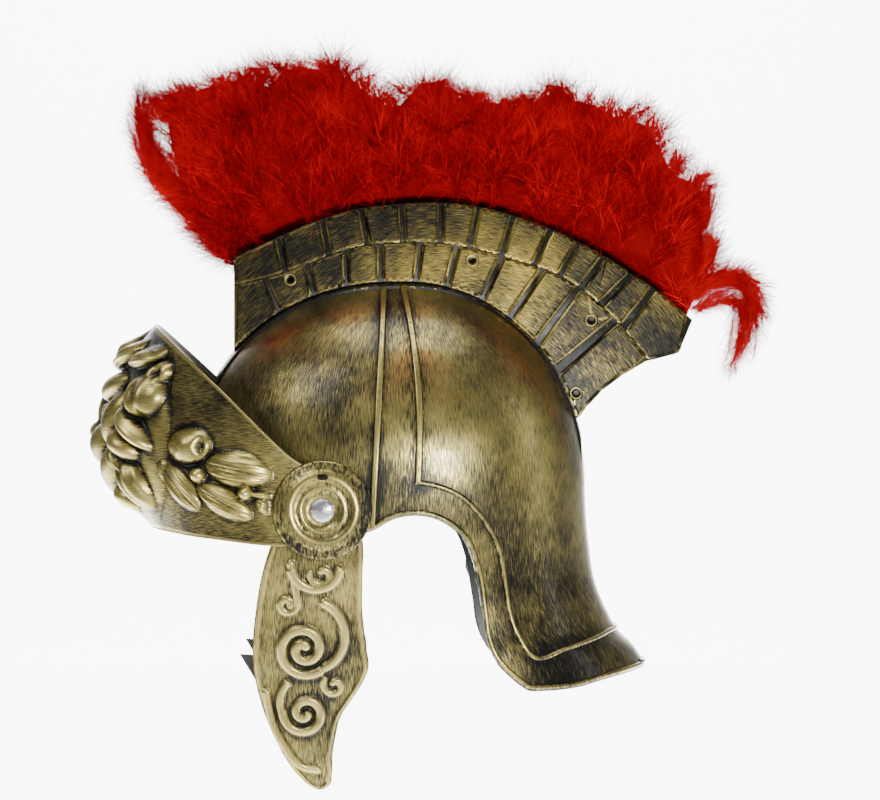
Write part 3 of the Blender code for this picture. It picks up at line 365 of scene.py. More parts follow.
def set_values(mesh, name, values):
    """Stores a number for each of a mesh's points, for its material to read."""
    attribute = mesh.attributes.new(name, "FLOAT", "POINT")
    attribute.data.foreach_set("value", np.asarray(values, np.float32).ravel())


def grid_faces(rows, columns, start=0, wrap=False, flip=False):
    """Four-sided faces between the points of a grid."""
    faces = []
    last = columns if wrap else columns - 1
    for row in range(rows - 1):
        for column in range(last):
            after = (column + 1) % columns
            face = (
                start + row * columns + column,
                start + row * columns + after,
                start + (row + 1) * columns + after,
                start + (row + 1) * columns + column,
            )
            faces.append(face[::-1] if flip else face)
    return faces


def tube_faces(rows, columns):
    """Faces of a grid that is closed round its columns, with a cap at each end."""
    faces = grid_faces(rows, columns, 0, True)
    faces.append(tuple(range(columns)))
    faces.append(tuple(range((rows - 1) * columns, rows * columns))[::-1])
    return faces


def grid_normals(points, wrap=False):
    """Unit normals of a grid of points, from its row and column directions."""
    down = np.gradient(points, axis=0)
    if wrap:
        along = (np.roll(points, -1, axis=1) - np.roll(points, 1, axis=1)) / 2
    else:
        along = np.gradient(points, axis=1)
    normals = np.cross(along, down)
    sizes = np.linalg.norm(normals, axis=2, keepdims=True)
    return normals / np.maximum(sizes, 1e-12)


def shell_mesh(name, outer, inner, wear_and_shade, uvs, wrap=False, steps=(4, 4)):
    """Closed shell between an outer grid and a coarser inner one, with the outer one's wear and painted shade
    values and its UV map.
    """
    rows, columns = outer.shape[:2]
    row_keys = sorted({*range(0, rows, steps[0]), rows - 1})
    column_keys = sorted({*range(0, columns, steps[1])} | (set() if wrap else {columns - 1}))
    coarse = inner[np.ix_(row_keys, column_keys)]
    lines = [[(rows - 1, column) for column in range(columns)]]
    if wrap:
        lines[0].append((rows - 1, 0))
    else:
        lines.append([(0, column) for column in range(columns - 1, -1, -1)])
        lines.append([(row, 0) for row in range(rows)])
        lines.append([(row, columns - 1) for row in range(rows - 1, -1, -1)])
    points = [outer.reshape(-1, 3), coarse.reshape(-1, 3)]
    flat_uvs = [uvs.reshape(-1, 2), uvs[np.ix_(row_keys, column_keys)].reshape(-1, 2)]
    count = rows * columns
    total = count + coarse.shape[0] * coarse.shape[1]
    faces = grid_faces(rows, columns, 0, wrap)
    inner_faces = grid_faces(coarse.shape[0], coarse.shape[1], count, wrap, True)
    edge_faces = []
    for line in lines:
        places = np.array(line)
        points.append(inner[places[:, 0], places[:, 1]])
        flat_uvs.append(uvs[places[:, 0], places[:, 1]])
        for index in range(len(line) - 1):
            first = places[index, 0] * columns + places[index, 1]
            second = places[index + 1, 0] * columns + places[index + 1, 1]
            edge_faces.append((int(second), int(first), total + index, total + index + 1))
        total += len(line)
    mesh = mesh_from(name, np.concatenate(points), faces + edge_faces + inner_faces)
    set_values(mesh, "wear_and_shade", np.concatenate([np.asarray(wear_and_shade).ravel(), np.full(total - count, 0.3)]))
    layer = mesh.uv_layers.new(name="surface")
    flat = np.concatenate(flat_uvs)
    loops = np.empty(len(mesh.loops), np.int32)
    mesh.loops.foreach_get("vertex_index", loops)
    layer.data.foreach_set("uv", flat[loops].astype(np.float32).ravel())
    kinds = np.zeros(len(mesh.polygons), np.int32)
    kinds[len(faces) + len(edge_faces) :] = 1
    mesh.polygons.foreach_set("material_index", kinds)
    return mesh


def face_outwards(mesh):
    """Merges doubled points and turns every face outwards."""
    bm = bmesh.new()
    bm.from_mesh(mesh)
    bmesh.ops.remove_doubles(bm, verts=bm.verts, dist=1e-6)
    bmesh.ops.recalc_face_normals(bm, faces=bm.faces)
    bm.to_mesh(mesh)
    bm.free()


def ribbon_mesh(name, points, normals, profile, wear_and_shade_profile):
    """Bar of one cross-section that lies along points on a surface. Profile rows are offset and height."""
    points = np.array(points, float)
    normals = np.array(normals, float)
    tangents = np.gradient(points, axis=0)
    tangents /= np.linalg.norm(tangents, axis=1, keepdims=True)
    across = np.cross(tangents, normals)
    across /= np.linalg.norm(across, axis=1, keepdims=True)
    rows = [points + across * offset + normals * height for offset, height in profile]
    grid = np.stack(rows, axis=1)
    mesh = mesh_from(name, grid, tube_faces(*grid.shape[:2]))
    set_values(mesh, "wear_and_shade", np.tile(wear_and_shade_profile, len(grid)))
    face_outwards(mesh)
    return mesh


# Materials


def ring_mesh(name, profile, side, steps, wear_and_shade=0.5):
    """Turned ring on the temple axis, with a closed profile of radius and distance out."""
    profile = np.array(profile, float)
    angles = np.linspace(0, 2 * math.pi, steps, endpoint=False)
    x = PIVOT.x + profile[:, 0][:, None] * np.cos(angles)[None, :]
    z = PIVOT.z + profile[:, 0][:, None] * np.sin(angles)[None, :]
    y = side * np.repeat(profile[:, 1][:, None], steps, axis=1)
    faces = grid_faces(len(profile), steps, 0, True)
    last = (len(profile) - 1) * steps
    for index in range(steps):
        after = (index + 1) % steps
        faces.append((last + index, last + after, after, index))
    mesh = mesh_from(name, np.stack([x, y, z], axis=2), faces)
    set_values(mesh, "wear_and_shade", np.broadcast_to(wear_and_shade, x.shape))
    face_outwards(mesh)
    mesh.set_sharp_from_angle(angle=math.radians(50))
    return mesh


def lobe_mesh(name, outside, side):
    """Flat ring round the temple pivot, one wall thick, with its outer face at a distance from the middle."""
    back = outside - WALL
    profile = ((BORE_RADIUS, back), (LOBE_RADIUS, back), (LOBE_RADIUS, outside), (BORE_RADIUS, outside))
    return ring_mesh(name, profile, side, LOBE_STEPS)


def connect(tree, node, sockets):
    """Links a source to each named input of a node, or sets its value."""
    for key, source in sockets.items():
        if isinstance(source, bpy.types.NodeSocket):
            tree.links.new(source, node.inputs[key])
        else:
            node.inputs[key].default_value = source


def add_node(tree, kind, sockets, **settings):
    """Adds a node with its settings and inputs, and gives its outputs."""
    node = tree.nodes.new(kind)
    for key, value in settings.items():
        setattr(node, key, value)
    connect(tree, node, sockets)
    return node.outputs


class Nodes:
    """Short calls for building a material's node tree."""

    def __init__(self, name):
        self.material = bpy.data.materials.new(name)
        self.material.use_nodes = True
        self.tree = self.material.node_tree
        self.shader = self.tree.nodes["Principled BSDF"]
        coordinates = self.add("ShaderNodeTexCoord", {})
        self.object = coordinates["Object"]
        self.uv = coordinates["UV"]

    def add(self, kind, sockets, **settings):
        return add_node(self.tree, kind, sockets, **settings)

    def mapped(self, vector, scale, turn=0.0, shift=(0.0, 0.0, 0.0)):
        sockets = {"Vector": vector, "Scale": scale, "Rotation": (0.0, 0.0, turn), "Location": shift}
        return self.add("ShaderNodeMapping", sockets)["Vector"]

    def noise(self, vector, scale, detail=4.0, roughness=0.55):
        sockets = {"Vector": vector, "Scale": scale, "Detail": detail, "Roughness": roughness}
        return self.add("ShaderNodeTexNoise", sockets)["Fac"]

    def math(self, operation, first, second):
        return self.add("ShaderNodeMath", {0: first, 1: second}, operation=operation)[0]

    def product(self, first, *others):
        for other in others:
            first = self.math("MULTIPLY", first, other)
        return first

    def sway(self, level, source, size):
        """A level that a source moves up and down, by nothing where the source is a half."""
        return self.math("ADD", level, self.product(self.math("SUBTRACT", source, 0.5), size))

    def ramp(self, factor, low, high, start=0.0, end=1.0):
        sockets = {"Value": factor, "From Min": low, "From Max": high, "To Min": start, "To Max": end}
        return self.add("ShaderNodeMapRange", sockets, clamp=True)["Result"]

    def mix(self, factor, first, second, kind="RGBA"):
        sockets = {"Factor": factor, "A": first, "B": second}
        return self.add("ShaderNodeMix", sockets, data_type=kind)["Result"]

    def attribute(self, name):
        return self.add("ShaderNodeAttribute", {}, attribute_name=name)["Fac"]

    def axis(self, name):
        return self.add("ShaderNodeSeparateXYZ", {0: self.object})[name]

    def bump(self, height, strength, distance):
        sockets = {"Height": height, "Strength": strength, "Distance": distance}
        connect(self.tree, self.shader, {"Normal": self.add("ShaderNodeBump", sockets)["Normal"]})

    def finish(self, colour, roughness, metallic=0.0, **others):
        sockets = {"Base Color": colour, "Roughness": roughness, "Metallic": metallic}
        connect(self.tree, self.shader, sockets)
        connect(self.tree, self.shader, {key.replace("_", " "): value for key, value in others.items()})
        return self.material


GOLD = (0.50, 0.40, 0.12, 1.0)
PALE_GOLD = (0.64, 0.53, 0.19, 1.0)
OLIVE = (0.19, 0.162, 0.055, 1.0)
BLACK = (0.004, 0.004, 0.0035, 1.0)
BROWN = (0.46, 0.13, 0.02, 1.0)
WARM_GOLD = (0.40, 0.29, 0.060, 1.0)


def grey(value):
    """Colour of one value in all channels."""
    return (value, value, value, 1.0)


def gold_material(name, streak, turn, blackness, contrast=0.24, use_uv=True, pure=GOLD, rear_turn=None):
    """Antique gold: dry-brushed over black in short streaks, darker in recesses and bright on edges; the
    per-point wear values that steer it also carry painted shade beside ridges and under the crest.

    A turn for the rear is given for the skull alone, which has brown spots on its crown too.
    """
    n = Nodes(name)
    base = n.uv if use_uv else n.object
    strokes = n.noise(n.mapped(base, streak, turn), 1.0, 5.0, 0.62)
    if rear_turn is not None:
        rear = n.noise(n.mapped(base, streak, rear_turn, (0.7, 0.2, 0.0)), 1.0, 5.0, 0.62)
        strokes = n.mix(n.ramp(n.axis("X"), -0.030, 0.005), strokes, rear, "FLOAT")
    patches = n.noise(n.object, 18.0, 4.0, 0.6)
    # Per-point brush wear, which also carries painted shade beside the skull's ridges and under the crest
    wear_and_shade = n.attribute("wear_and_shade")
    brush = n.sway(n.sway(strokes, patches, 0.55), wear_and_shade, 0.85)
    cover = n.ramp(brush, blackness, blackness + contrast)
    gold = n.mix(n.ramp(n.sway(strokes, patches, 0.8), 0.40, 0.72), OLIVE, pure)
    gold = n.mix(n.ramp(wear_and_shade, 0.64, 0.92), gold, PALE_GOLD)
    if rear_turn is not None:
        place = n.ramp(n.axis("Z"), -0.075, -0.022)
        top = n.ramp(n.axis("Z"), -0.012, -0.030)
        spots = n.ramp(n.noise(n.object, 16.0, 2.0), 0.44, 0.62)
        gold = n.mix(n.product(place, top, spots), gold, BROWN)
    n.bump(brush, 0.22, 0.0003)
    gloss = n.ramp(strokes, 0.35, 0.7, 0.38, 0.24)
    metal = n.ramp(cover, 0.0, 1.0, 0.7, 0.95)
    return n.finish(n.mix(cover, BLACK, gold), gloss, metal, Coat_Weight=0.12, Coat_Roughness=0.10)


def groove_material():
    """Black lacquer in the crest's grooves and on its inside."""
    n = Nodes("groove_black")
    specks = n.noise(n.object, 420.0, 3.0)
    n.bump(specks, 0.2, 0.0002)
    return n.finish(n.mix(n.ramp(specks, 0.62, 0.78), BLACK, OLIVE), n.ramp(specks, 0.3, 0.7, 0.28, 0.5), 0.3)


def inner_material():
    """Plain dark inside of a thin shell."""
    n = Nodes("inner_black")
    cloudy = n.noise(n.object, 60.0, 3.0)
    return n.finish(n.mix(cloudy, grey(0.012), (0.035, 0.034, 0.03, 1.0)), 0.45)


def steel_material():
    """Brushed steel of the rivets at the temples."""
    n = Nodes("rivet_steel")
    brushed = n.noise(n.mapped(n.object, (900.0, 40.0, 900.0)), 1.0, 3.0)
    n.bump(brushed, 0.08, 0.0001)
    colour = n.mix(brushed, (0.62, 0.62, 0.63, 1.0), (0.85, 0.85, 0.86, 1.0))
    return n.finish(colour, n.ramp(brushed, 0.2, 0.8, 0.12, 0.26), 1.0)


def web_material():
    """Black woven webbing."""
    n = Nodes("strap_web")
    sockets = {"Vector": n.object, "Scale": 260.0, "Distortion": 1.5}
    waves = n.add("ShaderNodeTexWave", sockets, wave_type="BANDS", bands_direction="Z")["Fac"]
    n.bump(waves, 0.5, 0.0004)
    return n.finish(n.mix(waves, grey(0.004), grey(0.03)), 0.85)


def down_material(name, dark, bright):
    """Red marabou down, with painted shade at the root of each barb and painted light and shade in clumps."""
    n = Nodes(name)
    # Painted light and shade of the feather clumps, and painted shade towards each barb's root
    clump_light_and_shade = n.product(n.noise(n.object, 38.0, 4.0, 0.6), 0.8)
    strands = n.product(n.noise(n.object, 700.0, 2.0), 0.2)
    level = n.sway(n.math("ADD", clump_light_and_shade, strands), n.attribute("tip"), 0.35)
    return n.finish(n.mix(n.ramp(level, 0.32, 0.68), dark, bright), 0.75, Specular_IOR_Level=0.08)


def pale_material(name, value, glow):
    """White floor and backdrop; only the part behind the helmet glows."""
    n = Nodes(name)
    deep = n.ramp(n.axis("Y"), -0.25, 0.06)
    left = n.ramp(n.axis("X"), -0.74, -0.62)
    right = n.ramp(n.axis("X"), 0.78, 0.66)
    high = n.ramp(n.axis("Z"), 0.60, 0.46)
    strength = n.product(deep, high, left, right, glow)
    return n.finish(grey(value), 0.9, Emission_Strength=strength, Emission_Color=grey(1.0))


# Skull


def rim_line():
    """Side view outline of the rim, as dense points with growing x."""
    places = [side_place(*row) for row in RIM]
    line = smooth_line(places, 900)
    keep = np.concatenate(([True], np.diff(np.maximum.accumulate(line[:, 0])) > 0))
    return line[keep]


def skull_point(angles, z, offset):
    """Plan view place on the skull for angles and heights."""
    along, across = np.cos(angles), np.sin(angles)
    x = reach_at(z, offset, along > 0) * np.abs(along) ** (2 / PLAN_POWER) * np.sign(along)
    y = half_width_at(z, offset) * np.abs(across) ** (2 / PLAN_POWER) * np.sign(across)
    return x, y


def rim_columns(count):
    """Angle and height where each column of one side ends on the rim, from the rear to the front."""
    rim = rim_line()
    share = rim[:, 0] / reach_at(rim[:, 1], 0.0, rim[:, 0] > 0)
    keys = np.linspace(-1, 1, 1200)
    z = np.interp(keys, share, rim[:, 1])
    angles = np.arccos(np.sign(keys) * np.abs(keys) ** (PLAN_POWER / 2))
    x, y = skull_point(angles, z, 0.0)
    steps = np.sqrt(np.diff(x) ** 2 + np.diff(y) ** 2 + np.diff(z) ** 2)
    run = np.concatenate(([0.0], np.cumsum(steps)))
    places = np.linspace(run[-1], 0.0, count)
    return np.interp(places, run, angles), np.interp(places, run, z)


def skull_grid(rows):
    """Grid of points from the crown to the rim, each point's distance along its column, and its angle."""
    side_angles, side_z = rim_columns(190)
    ends = np.concatenate([side_angles, 2 * math.pi - side_angles[-2:0:-1]])
    rim_z = np.concatenate([side_z, side_z[-2:0:-1]])
    tops = np.linspace(0, 2 * math.pi, len(ends), endpoint=False)
    part = np.linspace(0, 1, rows)[:, None]
    angles = tops[None, :] + (ends - tops)[None, :] * part
    centre = APEX - SIDE_CURVE
    run = SIDE_CURVE * math.pi / 2
    depth = APEX - rim_z
    share = np.clip((SIDE_CURVE - depth) / SIDE_CURVE, -1, 1)
    total = np.where(depth < SIDE_CURVE, SIDE_CURVE * np.arccos(share), run + depth - SIDE_CURVE)
    distance = part * total[None, :]
    turned = SIDE_CURVE * np.cos(np.minimum(distance, run) / SIDE_CURVE)
    z = np.where(distance < run, centre + turned, centre - (distance - run))
    x, y = skull_point(angles, z, 0.0)
    return np.stack([x, y, z], axis=2), distance, angles


def near_line(x, z, line):
    """Distance in the side view from places to a dense line of points."""
    best = np.full(x.shape, 1.0)
    for start in range(0, len(line), 40):
        part = line[start : start + 40]
        away = np.hypot(x[..., None] - part[:, 0], z[..., None] - part[:, 1])
        best = np.minimum(best, away.min(axis=-1))
    return best


def build_skull(gold, dark):
    """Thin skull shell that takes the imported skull's place."""
    grid, distance, angles = skull_grid(110)
    normals = grid_normals(grid, True)
    normals *= np.sign((normals[55, 20] * grid[55, 20]).sum())
    normals[0] = (0, 0, 1)
    inner = grid - normals * WALL
    x, z = grid[..., 0], grid[..., 2]
    to_rim = near_line(x, z, rim_line()[::3])
    to_contour = near_line(x, z, smooth_line([side_place(*row) for row in CONTOUR], 160))
    # More gold towards the rear, less low on the rear of the neck, and darker along the contour ridge and the
    # rim bead
    part = np.clip((x + 0.03) / 0.06, 0, 1)
    neck = np.clip((-0.122 - z) / 0.045, 0, 1) * np.clip((x - 0.025) / 0.03, 0, 1)
    wear_and_shade = 0.46 + 0.09 * part - 0.17 * neck
    wear_and_shade -= 0.05 * np.exp(-((to_contour / 0.005) ** 2)) + 0.05 * np.exp(-((to_rim / 0.005) ** 2))
    # Painted shade: darker beside each band ridge, partly the black left by the dry brushing and partly the
    # shade that falls beside the ridge
    for _, *ends in BAND_RIDGES:
        to_band = near_line(x, z, smooth_line(band_places(*ends), 60))
        wear_and_shade -= 0.20 * np.exp(-((to_band / 0.0042) ** 2))
    uvs = np.stack([angles * 0.1, distance], axis=2)
    mesh = shell_mesh("skull_shell", grid, inner, wear_and_shade, uvs, True, (3, 1))
    shell = new_piece("skull_shell", mesh, (gold, dark), "helmet")
    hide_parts("skull")


# Cross-sections of a ridge and a bead: offset across and height, each with its wear; the ridge's dark flanks
# and pale shoulders are partly painted shade and painted highlight
RIDGE_PROFILE = (
    (-0.0023, -0.0006), (-0.0020, 0.0008), (-0.0014, 0.0016), (-0.0008, 0.0017), (0.0, 0.0016),
    (0.0008, 0.0017), (0.0014, 0.0016), (0.0020, 0.0008), (0.0023, -0.0006),
)
RIDGE_WEAR_AND_SHADE = (0.05, 0.15, 0.74, 0.66, 0.58, 0.66, 0.74, 0.15, 0.05)
BEAD_PROFILE = (
    (-0.0018, -0.0008), (-0.0015, 0.0006), (-0.0008, 0.0014), (0.0, 0.0017), (0.0008, 0.0014),
    (0.0015, 0.0006), (0.0018, -0.0008),
)
BEAD_WEAR = (0.05, 0.22, 0.52, 0.66, 0.52, 0.22, 0.05)


def side_ribbon(name, places, side, profile, wear_and_shade_values, gold, count):
    """Raised bar along a line of places in the side view, on one side of the skull."""
    line = smooth_line(places, count)
    line[:, 0] = np.minimum(line[:, 0], reach_at(line[:, 1], 0.0, line[:, 0] > 0) * 0.994)
    spots = [skull_frame(x, z, side) for x, z in line]
    mesh = ribbon_mesh(name, [spot[0] for spot in spots], [spot[1] for spot in spots], profile, wear_and_shade_values)
    new_piece(name, mesh, (gold,), "helmet")


def band_places(top, foot, foot_depth):
    """Places down the skull's side that a band ridge passes, from the crest to the rim."""
    centre = APEX - SIDE_CURVE
    angles = [math.radians(18 + 72 * step / 12) for step in range(13)]
    heights = [centre + SIDE_CURVE * math.cos(angle) for angle in angles]
    low = APEX - foot_depth * NECK_DEPTH
    heights += [centre + (low - centre) * part for part in (0.35, 0.7, 1.0)]
    places = []
    for z in heights:
        part = (heights[0] - z) / (heights[0] - low)
        bow = BAND_BOW * math.sin(math.pi * part) if foot > 0 else 0.0
        share = top + (foot - top) * part + bow
        places.append((share * (SKULL_REAR if share > 0 else SKULL_FRONT), z))
    return places


def rim_bead_places():
    """Places in the side view along the rim, a little inside it."""
    rim = rim_line()
    tangents = np.gradient(rim, axis=0)
    tangents /= np.linalg.norm(tangents, axis=1, keepdims=True)
    inward = np.stack([-tangents[:, 1], tangents[:, 0]], axis=1)
    line = rim + inward * RIM_BEAD_INSET
    last = reach_at(line[:, 1], 0.0, line[:, 0] > 0)
    keep = (line[:, 0] > -SKULL_FRONT * 0.97) & (line[:, 0] < last * 0.985)
    return line[keep][::12]


def back_ribbon(name, z, gold):
    """Bead that joins the two sides' beads across the back of the neck."""
    angles = np.linspace(-0.24, 0.24, 41)
    level = np.full(41, z)
    x, y = skull_point(angles, level, 0.0)
    normals = np.stack([np.gradient(y), -np.gradient(x), np.zeros(41)], axis=1)
    places = [Vector(place) for place in np.stack([x, y, level], axis=1)]
    normals = [Vector(normal).normalized() for normal in normals]
    mesh = ribbon_mesh(name, places, normals, BEAD_PROFILE, BEAD_WEAR)
    new_piece(name, mesh, (gold,), "helmet")


def build_skull_ridges(gold):
    """Ridges down the sides, and beads along the contour and the rim."""
    rim_places = rim_bead_places()
    contour = [side_place(*row) for row in CONTOUR]
    for name, side in SIDES:
        for ridge, *ends in BAND_RIDGES:
            places = band_places(*ends)
            side_ribbon(ridge + "_band_" + name, places, side, RIDGE_PROFILE, RIDGE_WEAR_AND_SHADE, gold, 90)
        side_ribbon("contour_ridge_" + name, contour, side, BEAD_PROFILE, BEAD_WEAR, gold, 110)
        side_ribbon("rim_bead_" + name, rim_places, side, BEAD_PROFILE, BEAD_WEAR, gold, 260)
    back_ribbon("contour_ridge_back", APEX - CONTOUR[-1][1] * NECK_DEPTH, gold)
    rim = rim_line()
    share = rim[:, 0] / reach_at(rim[:, 1], 0.0, rim[:, 0] > 0)
    back_ribbon("rim_bead_back", float(np.interp(1.0, share, rim[:, 1])) + RIM_BEAD_INSET, gold)


def skull_top(x, y, offset, highest):
    """Height of the skull, moved out by an offset, over places in the plan view."""
    low = np.full(np.shape(x), APEX - REAR_CURVE)
    high = np.full(np.shape(x), APEX + highest)
    for _ in range(26):
        middle = (low + high) / 2
        inside = skull_side(x, middle, offset) > np.abs(y)
        low, high = np.where(inside, middle, low), np.where(inside, high, middle)
    return low


def build_crest_strip(gold):
    """Raised band over the crown that the crest stands on."""
    columns = []
    for z in APEX - SIDE_CURVE + SIDE_CURVE * np.cos(np.radians(np.linspace(0.5, 83, 90))):
        for rear in (False, True):
            columns.append(float(reach_at(z, 0.0, rear)) * (1 if rear else -1))
    columns.sort()
    flat = np.ones(41)
    across = np.concatenate([[-1.04, -1.0, -0.985], np.linspace(-0.97, 0.97, 41), [0.985, 1.0, 1.04]])
    lift = np.concatenate([[-0.5, 0.3, 0.85], flat, [0.85, 0.3, -0.5]]) * STRIP_RISE
    # Nearly black all over and darkest at its edges: partly the strip's black lacquer, partly painted shade
    # under the crest and on the strip's step
    wear_and_shade = np.concatenate([[0.05, 0.08, 0.12], flat * 0.15, [0.12, 0.08, 0.05]])
    x, y = np.meshgrid(columns, across * STRIP_HALF_WIDTH, indexing="ij")
    z = skull_top(x, y, np.repeat(lift[None, :], len(columns), axis=0), STRIP_RISE)
    mesh = mesh_from("crest_strip", np.stack([x, y, z], axis=2), grid_faces(*x.shape))
    set_values(mesh, "wear_and_shade", np.tile(wear_and_shade, len(columns)))
    piece = new_piece("crest_strip", mesh, (gold,), "helmet")


# Crest


def crest_place(along, height):
    """Place in the side view from shares of the crest's length and height."""
    return -CREST_FRONT + along * CREST_LENGTH, CREST_DATUM + height * CREST_HEIGHT


def crest_foot(along):
    """Place where the crest's side meets the skull's raised strip."""
    x = -CREST_FRONT + along * CREST_LENGTH
    offset = STRIP_RISE + GAP
    return x, float(skull_top(x, CREST_HALF_WIDTH, offset, offset))


def crest_top(along):
    """Place on the crest's top edge."""
    return crest_place(along, float(smooth_value(CREST_ARCS, along, 1)))


def prism(bm, outline, low, high):
    """Adds a closed body with one side view outline between two distances from the symmetry plane."""
    near = [bm.verts.new((x, low, z)) for x, z in outline]
    far = [bm.verts.new((x, high, z)) for x, z in outline]
    bm.faces.new(near)
    bm.faces.new(far[::-1])
    for index in range(len(outline)):
        after = (index + 1) % len(outline)
        bm.faces.new((near[after], near[index], far[index], far[after]))


def mesh_of(bm, name):
    """Mesh of a body under construction, with its faces turned outwards."""
    bmesh.ops.recalc_face_normals(bm, faces=bm.faces)
    mesh = bpy.data.meshes.new(name)
    bm.to_mesh(mesh)
    bm.free()
    return mesh


def temporary(name, mesh):
    """Object that rides on nothing: a tool, a guide or the floor."""
    obj = bpy.data.objects.new(name, mesh)
    bpy.context.scene.collection.objects.link(obj)
    return obj


def evaluated(obj, name):
    """Mesh of an object with its modifiers applied; the object is removed."""
    graph = bpy.context.evaluated_depsgraph_get()
    mesh = bpy.data.meshes.new_from_object(obj.evaluated_get(graph))
    mesh.name = name
    bpy.data.objects.remove(obj)
    return mesh


def bevel(obj, width):
    """Rounds an object's sharp edges."""
    modifier = obj.modifiers.new("round", "BEVEL")
    modifier.width = width
    modifier.segments = 3
    modifier.limit_method = "ANGLE"
    modifier.angle_limit = math.radians(50)


def boolean(obj, tool, operation):
    """Cuts an object with another one, or keeps what the two share."""
    modifier = obj.modifiers.new("cut", "BOOLEAN")
    modifier.operation = operation
    modifier.solver = "EXACT"
    modifier.object = tool


def hole_tool():
    """Short plugs that cut a blind hole into both sides of the crest at each hole."""
    bm = bmesh.new()
    for row in CREST_HOLES:
        x, z = crest_place(*row)
        for side in (-1, 1):
            turn = Matrix.Translation((x, side * CREST_HALF_WIDTH, z)) @ Matrix.Rotation(math.pi / 2, 4, "X")
            sizes = {"radius1": HOLE_RADIUS, "radius2": HOLE_RADIUS, "depth": HOLE_DEPTH * 2}
            bmesh.ops.create_cone(bm, cap_ends=True, segments=28, matrix=turn, **sizes)
    return temporary("hole_tool", mesh_of(bm, "hole_tool"))


def hole_rims(gold):
    """Thin bright ring round each hole in the crest's sides."""
    steps = 32
    angles = np.linspace(0, 2 * math.pi, steps, endpoint=False)
    bm = bmesh.new()
    for row in CREST_HOLES:
        x, z = crest_place(*row)
        for side in (-1, 1):
            rings = []
            for radius, out in HOLE_RIM:
                y = side * (CREST_HALF_WIDTH + BLOCK_RISE + out)
                away = radius * HOLE_RADIUS
                places = [(x + away * math.cos(angle), y, z + away * math.sin(angle)) for angle in angles]
                rings.append([bm.verts.new(place) for place in places])
            for low, high in zip(rings, rings[1:]):
                for index in range(steps):
                    after = (index + 1) % steps
                    bm.faces.new((low[index], low[after], high[after], high[index]))
    mesh = mesh_of(bm, "hole_rims")
    set_values(mesh, "wear_and_shade", np.full(len(mesh.vertices), 0.9))
    piece = new_piece("hole_rims", mesh, (gold,), "helmet")


def crest_outline():
    """Side view outline of the whole crest."""
    top = [crest_top(along) for along in np.linspace(0, 1, 60)]
    tail = [crest_place(*row) for row in CREST_TAIL]
    return top + tail[:-1] + [crest_foot(along) for along in np.linspace(0.705, 0.0, 40)]


def block_outline(left, right, upper_row):
    """Side view outline of one block, its long edges following the crest's arcs."""
    half = GROOVE_WIDTH / 2 / CREST_LENGTH
    gap = ROW_GAP / 2 / CREST_HEIGHT
    steps = np.linspace(0, 1, 5)
    high_left, low_left = left[0] + half, left[1] + half
    high_right, low_right = right[0] - half, right[1] - half
    outline = []
    for part in steps:
        along = high_left + (high_right - high_left) * part
        level = smooth_value(CREST_ARCS, along, 1 if upper_row else 2)
        outline.append(crest_place(along, float(level) - (0.020 if upper_row else gap)))
    for part in steps[::-1]:
        along = low_left + (low_right - low_left) * part
        if upper_row:
            outline.append(crest_place(along, float(smooth_value(CREST_ARCS, along, 2)) + gap))
        else:
            x, z = crest_foot(along)
            outline.append((x, z + BLOCK_LIFT))
    return outline


def all_blocks():
    """Outlines of the blocks in both rows."""
    start = 0.004 - GROOVE_WIDTH / 2 / CREST_LENGTH
    outlines = []
    for grooves, end in ((UPPER_GROOVES, (0.992, 0.965)), (LOWER_GROOVES, (0.902, 0.757))):
        places = [(start, start), *grooves, end]
        for left, right in zip(places, places[1:]):
            outlines.append(block_outline(left, right, grooves is UPPER_GROOVES))
    return outlines


def inset_outline(outline, inset):
    """Outline moved in by a distance at every corner."""
    moved = []
    count = len(outline)
    for index in range(count):
        before, here, after = (Vector(outline[(index + shift) % count]) for shift in (-1, 0, 1))
        first = (here - before).normalized()
        second = (after - here).normalized()
        inward = Vector((first.y, -first.x)) + Vector((second.y, -second.x))
        inward.normalize()
        half = max(inward.dot(Vector((first.y, -first.x))), 0.4)
        moved.append(tuple(here + inward * inset / half))
    return moved


def arc_uvs(mesh):
    """UV map along and across the crest's arcs, in metres."""
    layer = mesh.uv_layers.new(name="surface")
    for loop in mesh.loops:
        point = mesh.vertices[loop.vertex_index].co
        aft, up = point.x - ARC_CENTRE[0], point.z - ARC_CENTRE[1]
        layer.data[loop.index].uv = (math.atan2(aft, up) * ARC_RADIUS + point.y, math.hypot(aft, up))


def crest_core(groove, tool):
    """Dark body of the crest, with blind holes."""
    bm = bmesh.new()
    prism(bm, crest_outline(), -CREST_HALF_WIDTH, CREST_HALF_WIDTH)
    core = temporary("core", mesh_of(bm, "core"))
    boolean(core, tool, "DIFFERENCE")
    bevel(core, 0.0008)
    mesh = evaluated(core, "crest_core")
    set_values(mesh, "wear_and_shade", np.full(len(mesh.vertices), 0.5))
    piece = new_piece("crest_core", mesh, (groove,), "helmet")
    mesh.set_sharp_from_angle(angle=math.radians(35))
    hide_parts("crest")


